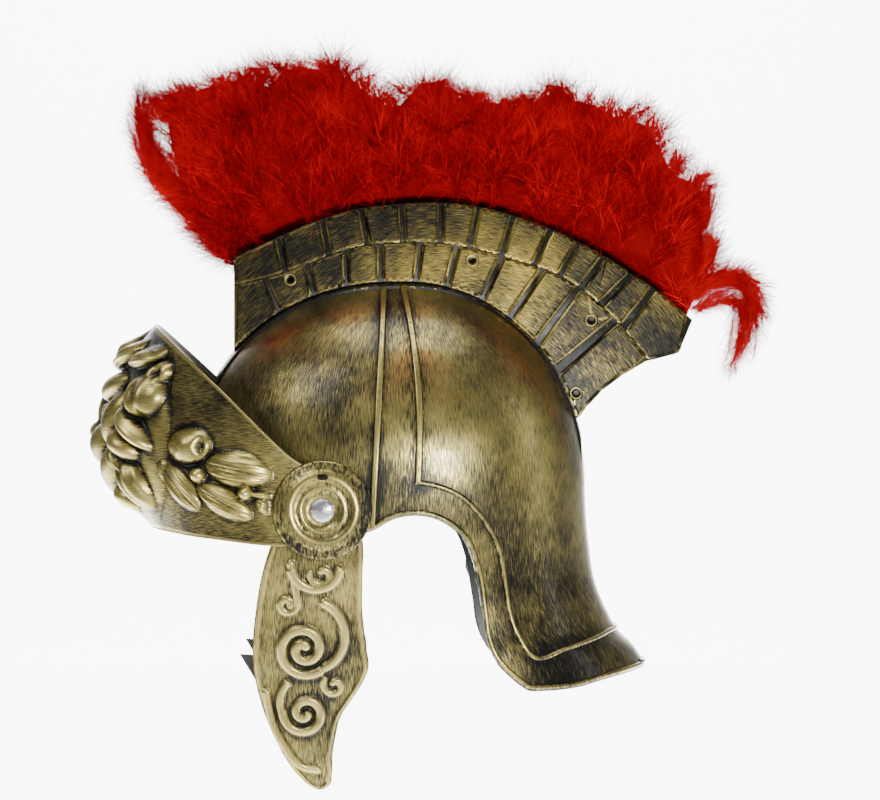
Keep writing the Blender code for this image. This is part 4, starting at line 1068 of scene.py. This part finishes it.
def crest_blocks(gold, tool):
    """The two rows of raised blocks on both sides, with a softer middle on each face."""
    bm = bmesh.new()
    for outline in all_blocks():
        for side in (-1, 1):
            low = side * (CREST_HALF_WIDTH - BLOCK_SINK)
            prism(bm, outline, low, side * (CREST_HALF_WIDTH + BLOCK_RISE))
    blocks = temporary("blocks", mesh_of(bm, "blocks"))
    bm = bmesh.new()
    prism(bm, inset_outline(crest_outline(), 0.0009), -0.05, 0.05)
    field = temporary("field", mesh_of(bm, "field"))
    boolean(blocks, field, "INTERSECT")
    boolean(blocks, tool, "DIFFERENCE")
    bevel(blocks, 0.0007)
    mesh = evaluated(blocks, "crest_blocks")
    bpy.data.objects.remove(field)
    bm = bmesh.new()
    bm.from_mesh(mesh)
    face_out = CREST_HALF_WIDTH + BLOCK_RISE
    faces = [face for face in bm.faces if abs(abs(face.calc_center_median().y) - face_out) < 1e-5]
    bmesh.ops.inset_individual(bm, faces=faces, thickness=0.0012, use_even_offset=True)
    bm.verts.index_update()
    middles = {vertex.index for face in faces for vertex in face.verts}
    bmesh.ops.triangulate(bm, faces=faces)
    bm.to_mesh(mesh)
    bm.free()
    wear_and_shade_values = []
    for vertex in mesh.vertices:
        raised = min(max((abs(vertex.co.y) - CREST_HALF_WIDTH) / BLOCK_RISE, 0.0), 1.0)
        wear_and_shade_values.append(0.43 if vertex.index in middles else 0.38 + 0.34 * raised)
    set_values(mesh, "wear_and_shade", wear_and_shade_values)
    arc_uvs(mesh)
    piece = new_piece("crest_blocks", mesh, (gold,), "helmet")
    mesh.set_sharp_from_angle(angle=math.radians(60))


def build_crest(gold, groove):
    """Crest body with blind holes and its two rows of blocks."""
    tool = hole_tool()
    crest_core(groove, tool)
    crest_blocks(gold, tool)
    bpy.data.objects.remove(tool)


# Visor


def visor_band(turn, rise, lift):
    """Points on the visor's band for arrays of turn, rise and lift."""
    reach = VISOR_REACH * smooth_value(VISOR_BOW, rise, 1) + lift
    away = np.abs(turn)
    side = np.where(turn > 0, 1.0, -1.0)
    angle = np.minimum(away / VISOR_BEND_TURN, 1.0) * math.pi / 2
    bend_ahead = LOBE_RADIUS + (reach - LOBE_RADIUS) * np.cos(angle) ** (2 / VISOR_POWER)
    straight = LOBE_RADIUS * np.clip((1 - away) / (1 - VISOR_BEND_TURN), 0, 1)
    ahead = np.where(away > VISOR_BEND_TURN, straight, bend_ahead)
    across = np.where(away > VISOR_BEND_TURN, 1.0, np.sin(angle) ** (2 / VISOR_POWER))
    low = smooth_value(VISOR_EDGES, ahead / reach, 1)
    high = smooth_value(VISOR_EDGES, ahead / reach, 2)
    height = (low + (high - low) * rise) * VISOR_HEIGHT
    return np.stack([PIVOT.x - ahead, side * (VISOR_OUT + lift) * across, PIVOT.z + height], axis=-1)


def lobe_rise(kind, on_length, on_width, rise):
    """Rise of one lobe over its own length and width, in shares of the relief's."""
    away = on_length**2 + on_width**2
    if kind == "leaf":
        away = np.abs(on_length) ** 1.8 + np.abs(on_width) ** 1.7
    body = rise * np.maximum(1 - away, 0) ** 0.62
    if kind == "leaf":
        halves = 1 - 0.40 * np.exp(-((on_width / 0.11) ** 2))
        return body * halves * (0.80 + 0.20 * np.cos(2.2 * on_width * math.pi) ** 2)
    if kind == "bud":
        hook = np.exp(-(((on_length - 0.62) / 0.15) ** 2) - (on_width / 0.42) ** 2)
        petals = 0.05 * np.cos(7 * on_length + 5 * on_width**2)
        return body * (0.95 + petals) * (1 - 0.62 * hook)
    if kind == "hair":
        locks = np.cos(on_width * 3.4 * math.pi + 0.9 * np.sin(3 * on_length))
        return body * (1 - 0.16 * (0.5 + 0.5 * locks))
    if kind == "ring":
        return body * (1 - 0.72 * np.exp(-(away / 0.20)))
    return body


def relief_rise(along, height):
    """Rise of the lion and laurel relief in metres, for arrays of places on the band."""
    top = np.zeros_like(along)
    base = np.zeros_like(along)
    for row in (LION_MASK, *LION_LOBES, *LAUREL_LOBES):
        kind, place, level, long, wide, tilt, rise = row
        turn = math.radians(tilt)
        up = height - level * VISOR_HEIGHT
        for mirror in (1, -1):
            across = along * mirror - place * VISOR_HEIGHT
            on_length = (across * math.cos(turn) + up * math.sin(turn)) / (long * VISOR_HEIGHT)
            on_width = (up * math.cos(turn) - across * math.sin(turn)) / (wide * VISOR_HEIGHT)
            lift = lobe_rise(kind, on_length, on_width, rise * RELIEF_RISE)
            if row is LION_MASK:
                base = np.maximum(base, lift)
            else:
                top = np.maximum(top, lift)
    return base + top


def build_visor(gold, dark):
    """Visor band with its relief, and the flat lobes at its pivots."""
    columns, rows = 480, 116
    turns = np.linspace(-1, 1, columns)
    middle = visor_band(turns, np.full(columns, 0.5), np.zeros(columns))
    steps = np.hypot(np.diff(middle[:, 0]), np.diff(middle[:, 1]))
    along = np.concatenate(([0.0], np.cumsum(steps)))
    along -= along[-1] / 2
    turn_grid, rise_grid = np.meshgrid(turns, np.linspace(0, 1, rows))
    along_grid = np.repeat(along[None, :], rows, axis=0)
    plain = visor_band(turn_grid, rise_grid, np.zeros_like(turn_grid))
    lift = relief_rise(along_grid, plain[..., 2] - PIVOT.z)
    clear = np.hypot(plain[..., 0] - PIVOT.x, plain[..., 2] - PIVOT.z) - ROSETTE_RADIUS - WALL
    from_edge = np.minimum(rise_grid, 1 - rise_grid)
    lift = lift * np.clip(clear / WALL / 2, 0, 1) * np.minimum(1.0, 10 * from_edge)
    outer = visor_band(turn_grid, rise_grid, lift)
    inner = visor_band(turn_grid, rise_grid, np.full_like(lift, -WALL))
    raised = np.clip(lift / 0.003, 0, 1)
    wear_and_shade = np.clip(0.43 + 0.07 * raised + (lift - blurred(lift, 5)) / 0.0022 * 0.36, 0.02, 0.86)
    wear_and_shade = np.where(from_edge < 0.02, 0.74, wear_and_shade)
    mesh = shell_mesh("visor_band", outer, inner, wear_and_shade, np.stack([along_grid, plain[..., 2]], axis=2))
    piece = new_piece("visor_band", mesh, (gold, dark), "visor")
    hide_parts("visor")
    for name, side in SIDES:
        mesh = lobe_mesh("visor_lobe_" + name, VISOR_OUT, side)
        lobe = new_piece("visor_lobe_" + name, mesh, (gold,), "visor")


# Cheek guards


def guard_points(aft, under, inset, side):
    """Points on a cheek guard for places aft of the pivot and under it."""
    away = np.hypot(aft, under) / GUARD_LENGTH
    out = GUARD_OUT - smooth_value(GUARD_CURL, away, 1) * GUARD_LENGTH - inset
    return np.stack([PIVOT.x + aft, side * out, PIVOT.z - under], axis=-1)


def spiral_line(aft, under, start, end, first, last):
    """Line of a spiral from its start and end radius and angle."""
    count = max(int(abs(last - first) / 5), 8)
    parts = np.linspace(0, 1, count)
    angles = np.radians(first + (last - first) * parts)
    radius = start + (end - start) * parts
    return np.stack([aft + radius * np.cos(angles), under - radius * np.sin(angles)], axis=1) * GUARD_LENGTH


def scroll_rise(aft, under):
    """Rise of the scroll relief over a cheek guard, in metres."""
    total = np.zeros_like(aft)
    lines = [(spiral_line(*row[:6]), row[6]) for row in SCROLL_SPIRALS]
    lines += [(smooth_line(points, 60) * GUARD_LENGTH, girth) for points, girth in SCROLL_STEMS]
    for line, girth in lines:
        radius = SCROLL_RADIUS * girth
        away = near_line(aft, under, line)
        body = np.maximum(1 - (away / (radius * 1.2)) ** 2, 0) ** 0.7 * radius
        total = np.maximum(total, np.minimum(body, radius * 0.9))
    return total


def build_guards(gold, dark):
    """Cheek guards with scrolls and a raised border, and the lobes at their pivots."""
    rows, columns = 220, 92
    under = np.linspace(GUARD_SECTIONS[0][0], GUARD_SECTIONS[-1][0], rows)
    front = smooth_value(GUARD_SECTIONS, under, 1) * GUARD_WIDTH
    rear = smooth_value(GUARD_SECTIONS, under, 2) * GUARD_WIDTH
    aft = front[:, None] + (rear - front)[:, None] * np.linspace(0, 1, columns)[None, :]
    below = np.repeat((under * GUARD_LENGTH)[:, None], columns, axis=1)
    edge_distance = np.minimum(aft - front[:, None], rear[:, None] - aft)
    clear = np.hypot(aft, below) - ROSETTE_RADIUS * 0.96 > 0
    lift = np.where(clear, scroll_rise(aft, below), 0.0)
    border = 0.0011 * np.exp(-(((edge_distance - 0.0022) / 0.0011) ** 2)) * clear
    lift = np.maximum(lift, border)
    hollow = (lift - blurred(lift, 5)) / 0.0012
    wear_and_shade = np.clip(0.46 + hollow * 0.26 + 0.12 * np.clip(lift / 0.0012, 0, 1), 0.0, 0.9)
    uvs = np.stack([aft, below], axis=2)
    for name, side in SIDES:
        plain = guard_points(aft, below, 0.0, side)
        normals = grid_normals(plain)
        normals *= np.sign(normals[..., 1:2]) * side
        outer = plain + normals * lift[..., None]
        mesh = shell_mesh("cheek_guard_" + name, outer, plain - normals * WALL, wear_and_shade, uvs)
        piece = new_piece("guard_plate_" + name, mesh, (gold, dark), "guard_" + name)
        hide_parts("cheek_guard_" + name)
        mesh = lobe_mesh("guard_lobe_" + name, GUARD_OUT, side)
        lobe = new_piece("guard_lobe_" + name, mesh, (gold,), "guard_" + name)


def paint_node(name, material):
    """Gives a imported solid's mesh a material of its own."""
    materials = bpy.data.objects[name].data.materials
    materials.clear()
    materials.append(material)


def build_temples(gold, steel):
    """Ringed rosettes with a dark oval, and the rivets' steel."""
    line = smooth_line(ROSETTE_RINGS, 110)
    heights = line[:, 1]
    mean = np.convolve(np.pad(heights, 6, mode="edge"), np.full(13, 1 / 13), mode="valid")
    outside = np.clip((line[:, 0] - 0.74) / 0.10, 0, 1)
    wear_and_shade_values = np.clip(0.55 + (heights - mean) * 3.0 - 0.20 * outside, 0.02, 0.9)
    angles = np.linspace(0, 2 * math.pi, ROSETTE_STEPS, endpoint=False)
    radii = np.append(line[:, 0], line[-1][0])
    mark_aft, mark_up, mark_length, mark_width = ROSETTE_MARK
    across = (np.outer(radii, np.cos(angles)) - mark_aft) / mark_length
    above = (np.outer(radii, np.sin(angles)) - mark_up) / mark_width
    wear_and_shade_values = np.repeat(np.append(wear_and_shade_values, 0.3)[:, None], ROSETTE_STEPS, axis=1)
    wear_and_shade_values[np.hypot(across, above) < 1] = 0.0
    profile = [(radius * ROSETTE_RADIUS, ROSETTE_BACK + rise * ROSETTE_RISE) for radius, rise in line]
    profile.append((line[-1][0] * ROSETTE_RADIUS, ROSETTE_BACK))
    for name, side in SIDES:
        mesh = ring_mesh("rosette_ring_" + name, profile, side, ROSETTE_STEPS, wear_and_shade_values)
        piece = new_piece("rosette_ring_" + name, mesh, (gold,), "helmet")
        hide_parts("rosette_" + name)
        paint_node("rivet_" + name, steel)


# Plume


def plume_place(along, share, across):
    """Point on the fanned line of down that stands at a place along the crest."""
    x, z = crest_top(along)
    aft = float(smooth_value(PLUME_SECTIONS, along, 1)) * share * PLUME_HEIGHT
    high = float(smooth_value(PLUME_SECTIONS, along, 2)) * share * PLUME_HEIGHT
    return np.array([x + aft, across * PLUME_HALF_WIDTH, z + high])


def bend(root, knee, tip, count):
    """Points on a curve from a root to a tip that leans towards a knee."""
    parts = np.linspace(0, 1, count)[:, None]
    return root * (1 - parts) ** 2 + knee * 2 * parts * (1 - parts) + tip * parts**2


def feather_shafts(rng, count):
    """Quills that cover both sides and the top of the plume, with the size of the barbs on each."""
    shafts = []
    for index in range(count):
        along = min(((index + rng.uniform(0, 1)) / count) ** 1.25, 0.995)
        wide = float(smooth_value(PLUME_SECTIONS, along, 3))
        side = -1 if index % 2 else 1
        start = 0.92 * rng.uniform(0, 1) ** 0.8 - 0.03
        end = min(start + rng.uniform(0.16, 0.32), 0.965)
        outer = [side * wide * float(np.interp(share, *QUILL_SPREAD)) for share in (start, end)]
        root = plume_place(along, start, outer[0] * rng.uniform(0.6, 0.9))
        knee = plume_place(along, (start + end) / 2, (outer[0] + outer[1]) / 2)
        tip = plume_place(along, end, outer[1])
        knee[0] += rng.uniform(-0.05, 0.05) * PLUME_HEIGHT
        tip[0] += rng.uniform(-0.16, 0.16) * PLUME_HEIGHT
        shafts.append((bend(root, knee, tip, 7), rng.uniform(0.62, 0.95)))
    return shafts


def feather_bundles(rng, rows, count):
    """Several quills close together for each loose feather."""
    shafts = []
    for *places, size in rows:
        for _ in range(count):
            spread = rng.normal(0, 1, (3, 3)) * np.array([[0.0020], [0.0034], [0.0030]])
            root, knee, tip = np.array(places) + spread
            shafts.append((bend(root, knee, tip, 12), size))
    return shafts


# Loose feathers at both ends of the plume: root, bend, tip, and the size of their barbs
LOOSE_FEATHERS = (
    ((-0.098, 0.0, 0.028), (-0.160, -0.003, 0.068), (-0.153, -0.002, 0.118), 0.74),
    ((-0.102, -0.004, 0.026), (-0.158, -0.004, 0.062), (-0.154, -0.003, 0.104), 0.70),
    ((-0.104, 0.004, 0.032), (-0.150, 0.004, 0.050), (-0.156, 0.003, 0.096), 0.66),
    ((-0.096, 0.0, 0.016), (-0.110, -0.006, 0.022), (-0.124, 0.0, 0.042), 0.80),
    ((-0.092, -0.004, 0.012), (-0.104, -0.010, 0.014), (-0.114, -0.004, 0.026), 0.75),
    ((-0.112, 0.0, 0.092), (-0.132, 0.002, 0.110), (-0.147, 0.002, 0.108), 0.70),
    ((-0.108, -0.004, 0.080), (-0.126, -0.004, 0.100), (-0.140, -0.003, 0.104), 0.66),
    ((-0.104, 0.004, 0.096), (-0.118, 0.002, 0.114), (-0.128, 0.002, 0.116), 0.70),
    ((-0.112, 0.0, 0.052), (-0.128, -0.004, 0.060), (-0.142, -0.002, 0.076), 0.40),
    ((0.172, 0.0, -0.010), (0.224, 0.0, 0.024), (0.206, -0.002, -0.038), 0.80),
    ((0.176, 0.002, -0.016), (0.218, 0.004, 0.010), (0.199, 0.004, -0.048), 0.72),
    ((0.170, -0.002, -0.006), (0.208, 0.0, 0.022), (0.213, -0.002, -0.022), 0.74),
    ((0.168, 0.0, 0.020), (0.184, 0.0, 0.040), (0.181, 0.0, 0.056), 0.85),
    ((0.172, 0.0, -0.004), (0.188, 0.0, 0.010), (0.186, 0.0, 0.028), 0.85),
)


def shaft_curves(shafts, name):
    """Curve object of all quills; a point's radius scales the barbs that grow there."""
    curve = bpy.data.curves.new(name, "CURVE")
    curve.dimensions = "3D"
    for points, size in shafts:
        spline = curve.splines.new("POLY")
        spline.points.add(len(points) - 1)
        for index, point in enumerate(points):
            part = index / (len(points) - 1)
            spline.points[index].co = (*point, 1.0)
            spline.points[index].radius = size * (0.85 + 0.3 * math.sin(math.pi * part)) * (1 - 0.3 * part**3)
    return temporary(name, curve)


def barb_meshes(rng, count):
    """A few bent ribbons, each a soft barb that lies along +Z from the origin."""
    meshes = []
    for index in range(count):
        length = 0.019 * rng.uniform(0.8, 1.2)
        bend_x, bend_y = rng.uniform(-0.6, 0.6, 2)
        wave = rng.uniform(0, math.pi * 2)
        points, tips = [], []
        for part in (0.0, 0.5, 1.0):
            x = bend_x * length * part * part + 0.0012 * math.sin(wave + part * 5.0)
            y = bend_y * length * part * part + 0.0012 * math.cos(wave + part * 4.0)
            z = length * part * (1 - 0.12 * part * (abs(bend_x) + abs(bend_y)))
            width = 0.00017 * (1 - 0.70 * part) + 0.00003
            points += [(x - width, y, z), (x + width, y, z)]
            tips += [part, part]
        mesh = mesh_from("barb_%d" % index, points, [(0, 1, 3, 2), (2, 3, 5, 4)])
        set_values(mesh, "tip", tips)
        meshes.append(mesh)
    return meshes


def barb_tree(material, barbs):
    """Geometry Nodes that grow barbs along quills, with the inputs' identifiers."""
    tree = bpy.data.node_groups.new("grow_barbs", "GeometryNodeTree")
    interface = tree.interface
    interface.new_socket("Geometry", in_out="INPUT", socket_type="NodeSocketGeometry")
    inputs = {}
    for label, kind, value in BARB_INPUTS:
        socket = interface.new_socket(label, in_out="INPUT", socket_type=kind)
        socket.default_value = value
        inputs[label] = socket.identifier
    interface.new_socket("Geometry", in_out="OUTPUT", socket_type="NodeSocketGeometry")

    def add(kind, sockets, **settings):
        return add_node(tree, kind, sockets, **settings)

    def times(first, second):
        return add("ShaderNodeMath", {0: first, 1: second}, operation="MULTIPLY")[0]

    source = add("NodeGroupInput", {})
    along = {"Curve": source["Geometry"], "Length": source["Spacing"]}
    points = add("GeometryNodeCurveToPoints", along, mode="LENGTH")
    span = {"Min": (0.35, -0.25, 0.0), "Max": (1.25, 0.25, math.pi * 2), "Seed": source["Seed"]}
    spin = add("FunctionNodeRandomValue", span, data_type="FLOAT_VECTOR")["Value"]
    parts = add("ShaderNodeSeparateXYZ", {0: spin})
    turn = add("ShaderNodeCombineXYZ", {"Z": parts["Z"]})[0]
    tilt = add("ShaderNodeCombineXYZ", {"X": times(parts["X"], source["Spread"]), "Y": parts["Y"]})[0]
    aim = add("FunctionNodeAlignRotationToVector", {"Vector": points["Tangent"]}, axis="Z")["Rotation"]
    for by in (turn, tilt):
        sockets = {"Rotation": aim, "Rotate By": by}
        aim = add("FunctionNodeRotateRotation", sockets, rotation_space="LOCAL")["Rotation"]
    gather = tree.nodes.new("GeometryNodeGeometryToInstance")
    for barb in barbs:
        tree.links.new(add("GeometryNodeObjectInfo", {"Object": barb})["Geometry"], gather.inputs[0])
    chance = {2: 0.6, 3: 1.25, "Seed": source["Seed"]}
    size = add("FunctionNodeRandomValue", chance, data_type="FLOAT")[1]
    size = times(times(add("GeometryNodeInputRadius", {})[0], size), source["Size"])
    sockets = {"Points": points["Points"], "Instance": gather.outputs[0], "Rotation": aim, "Scale": size}
    sockets["Pick Instance"] = True
    grown = add("GeometryNodeInstanceOnPoints", sockets)["Instances"]
    real = add("GeometryNodeRealizeInstances", {"Geometry": grown})["Geometry"]
    painted = add("GeometryNodeSetMaterial", {"Geometry": real, "Material": material})["Geometry"]
    add("NodeGroupOutput", {"Geometry": painted})
    return tree, inputs


def grow(shafts, name, tree, inputs, spread, seed):
    """Grows barbs on quills and makes the result one plain piece."""
    guide = shaft_curves(shafts, name + "_quills")
    modifier = guide.modifiers.new("grow", "NODES")
    modifier.node_group = tree
    spacing = BARB_SPACING
    for label, value in (("Spacing", spacing), ("Spread", spread), ("Size", 1.0), ("Seed", seed)):
        modifier[inputs[label]] = value
    piece = new_piece(name, evaluated(guide, name), (), "helmet")


def plume_core(material):
    """Dense inner mass of the plume, a little inside its outline, with lumps where feathers bunch; its darker
    red is painted shade inside the down.
    """
    rings, around = 110, 30
    rng = np.random.default_rng(7)
    waves = [(rng.uniform(30, 75), rng.integers(1, 5), rng.uniform(0, 2 * math.pi)) for _ in range(7)]
    grid = np.zeros((rings, around, 3))
    for ring, along in enumerate(np.linspace(0.0, 0.992, rings)):
        wide = float(smooth_value(PLUME_SECTIONS, along, 3))
        for index in range(around):
            angle = 2 * math.pi * index / around
            up = 0.5 - 0.5 * math.cos(angle)
            lump = sum(math.sin(along * rate + angle * fold + phase) for rate, fold, phase in waves) / 7
            share = max(0.0, up * (0.89 + 0.09 * lump * up))
            across = math.sin(angle) * wide * (0.52 + 0.10 * lump) + 0.1 * math.sin(angle) * (1 - up)
            grid[ring, index] = plume_place(along, share, across)
            grid[ring, index, 2] += 0.0006
    mesh = mesh_from("plume_core", grid, tube_faces(rings, around))
    # Painted shade: the core takes the dark end of the down's colour, like the roots of the barbs
    set_values(mesh, "tip", np.full(len(mesh.vertices), 0.2))
    face_outwards(mesh)
    piece = new_piece("plume_core", mesh, (material,), "helmet")
    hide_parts("plume")


def build_plume():
    """Core, down on quills along the whole crest, and loose feathers at both ends."""
    rng = np.random.default_rng(11)
    # The core gets a darker copy of the down's red, as painted shade inside the plume
    plume_core(down_material("down_core_shaded", (0.20, 0.0, 0.0, 1.0), (0.46, 0.0, 0.003, 1.0)))
    down = down_material("down_red", (0.30, 0.0, 0.001, 1.0), (0.70, 0.001, 0.006, 1.0))
    barbs = [temporary("barb_object_%d" % index, mesh) for index, mesh in enumerate(barb_meshes(rng, 10))]
    tree, inputs = barb_tree(down, barbs)
    shafts = feather_shafts(rng, 620)
    size = math.ceil(len(shafts) / DOWN_PIECES)
    for group in range(DOWN_PIECES):
        part = shafts[group * size : (group + 1) * size]
        grow(part, "plume_down_%d" % group, tree, inputs, 1.0, 20 + group)
    grow(feather_bundles(rng, LOOSE_FEATHERS, 6), "plume_feathers", tree, inputs, 0.9, 41)
    for barb in barbs:
        bpy.data.objects.remove(barb)


# Stage


def build_stage():
    """Floor that curves up into a backdrop."""
    floor = temporary("floor", bpy.data.meshes.new("floor"))
    bm = bmesh.new()
    radius, depth, width, height = 0.9, 2.2, 9.0, 5.0
    outline = [(-4.0, FLOOR_Z), (depth - radius, FLOOR_Z)]
    for step in range(1, 13):
        angle = math.radians(90 * step / 12)
        outline.append((depth - radius + radius * math.sin(angle), FLOOR_Z + radius * (1 - math.cos(angle))))
    outline.append((depth, FLOOR_Z + height))
    rows = [[bm.verts.new((side * width, y, z)) for y, z in outline] for side in (-1, 1)]
    for index in range(len(outline) - 1):
        bm.faces.new((rows[0][index], rows[1][index], rows[1][index + 1], rows[0][index + 1]))
    bm.to_mesh(floor.data)
    bm.free()
    for polygon in floor.data.polygons:
        polygon.use_smooth = True
    floor.data.materials.append(pale_material("pale_floor", 0.9, 8.0))


def add_area(name, place, target, size, power, colour=(1.0, 1.0, 1.0)):
    """Rectangular light that points from a place to a target."""
    data = bpy.data.lights.new(name, "AREA")
    data.shape = "RECTANGLE"
    data.size, data.size_y = size
    data.energy = power
    data.color = colour
    lamp = bpy.data.objects.new(name, data)
    lamp.location = place
    lamp.rotation_euler = (Vector(target) - Vector(place)).to_track_quat("-Z", "Y").to_euler()
    bpy.context.scene.collection.objects.link(lamp)


def build_lights():
    """Soft studio lights, with a small one for the glint at the near temple."""
    centre = (0.02, 0.0, -0.05)
    add_area("front_light", (0.085, -0.41, -0.110), (0.014, -0.087, -0.102), (0.065, 0.065), 1.6)
    add_area("key_light", (-0.9, -1.3, 1.3), centre, (0.8, 0.8), 15)
    add_area("side_light", (1.7, -0.7, 0.3), centre, (0.3, 1.4), 5)
    add_area("top_light", (0.1, -0.4, 1.6), centre, (1.0, 0.8), 16)
    add_area("back_light", (-0.3, 1.5, 1.0), centre, (1.6, 0.8), 5)
    world = bpy.data.worlds.new("studio")
    world.use_nodes = True
    background = world.node_tree.nodes["Background"]
    background.inputs["Color"].default_value = (1.0, 1.0, 1.0, 1.0)
    background.inputs["Strength"].default_value = 0.30
    bpy.context.scene.world = world


def build_camera():
    """Camera at the photograph's direction, distance and framing."""
    data = bpy.data.cameras.new("photo_camera")
    camera = bpy.data.objects.new("photo_camera", data)
    bpy.context.scene.collection.objects.link(camera)
    back = Vector((math.sin(CAMERA_AZIMUTH), -math.cos(CAMERA_AZIMUTH), 0.0))
    camera.location = CAMERA_TARGET + back * CAMERA_DISTANCE
    camera.rotation_euler = (-back).to_track_quat("-Z", "Y").to_euler()
    data.sensor_width = 36.0
    data.lens = 36.0 * CAMERA_DISTANCE / FRAME_WIDTH
    data.clip_end = 50.0
    bpy.context.scene.camera = camera


build_camera()
build_lights()
build_stage()
inside = inner_material()
trim_gold = gold_material("trim_gold", (700.0, 700.0, 200.0), 0.0, 0.30, use_uv=False)
skull_gold = gold_material("skull_gold", (3400.0, 130.0, 1.0), 0.75, 0.37, rear_turn=0.06)
visor_gold = gold_material("visor_gold", (170.0, 3000.0, 1.0), 0.6, 0.36)
guard_gold = gold_material("guard_gold", (3000.0, 150.0, 1.0), 0.3, 0.32)
block_gold = gold_material("block_gold", (130.0, 3000.0, 1.0), 0.0, 0.40, 0.22, pure=WARM_GOLD)
build_skull(skull_gold, inside)
build_skull_ridges(trim_gold)
build_crest_strip(trim_gold)
build_crest(block_gold, groove_material())
hole_rims(trim_gold)
build_visor(visor_gold, inside)
build_guards(guard_gold, inside)
build_temples(trim_gold, steel_material())
webbing = web_material()
for side_name, _ in SIDES:
    paint_node("strap_tab_" + side_name, webbing)
build_plume()
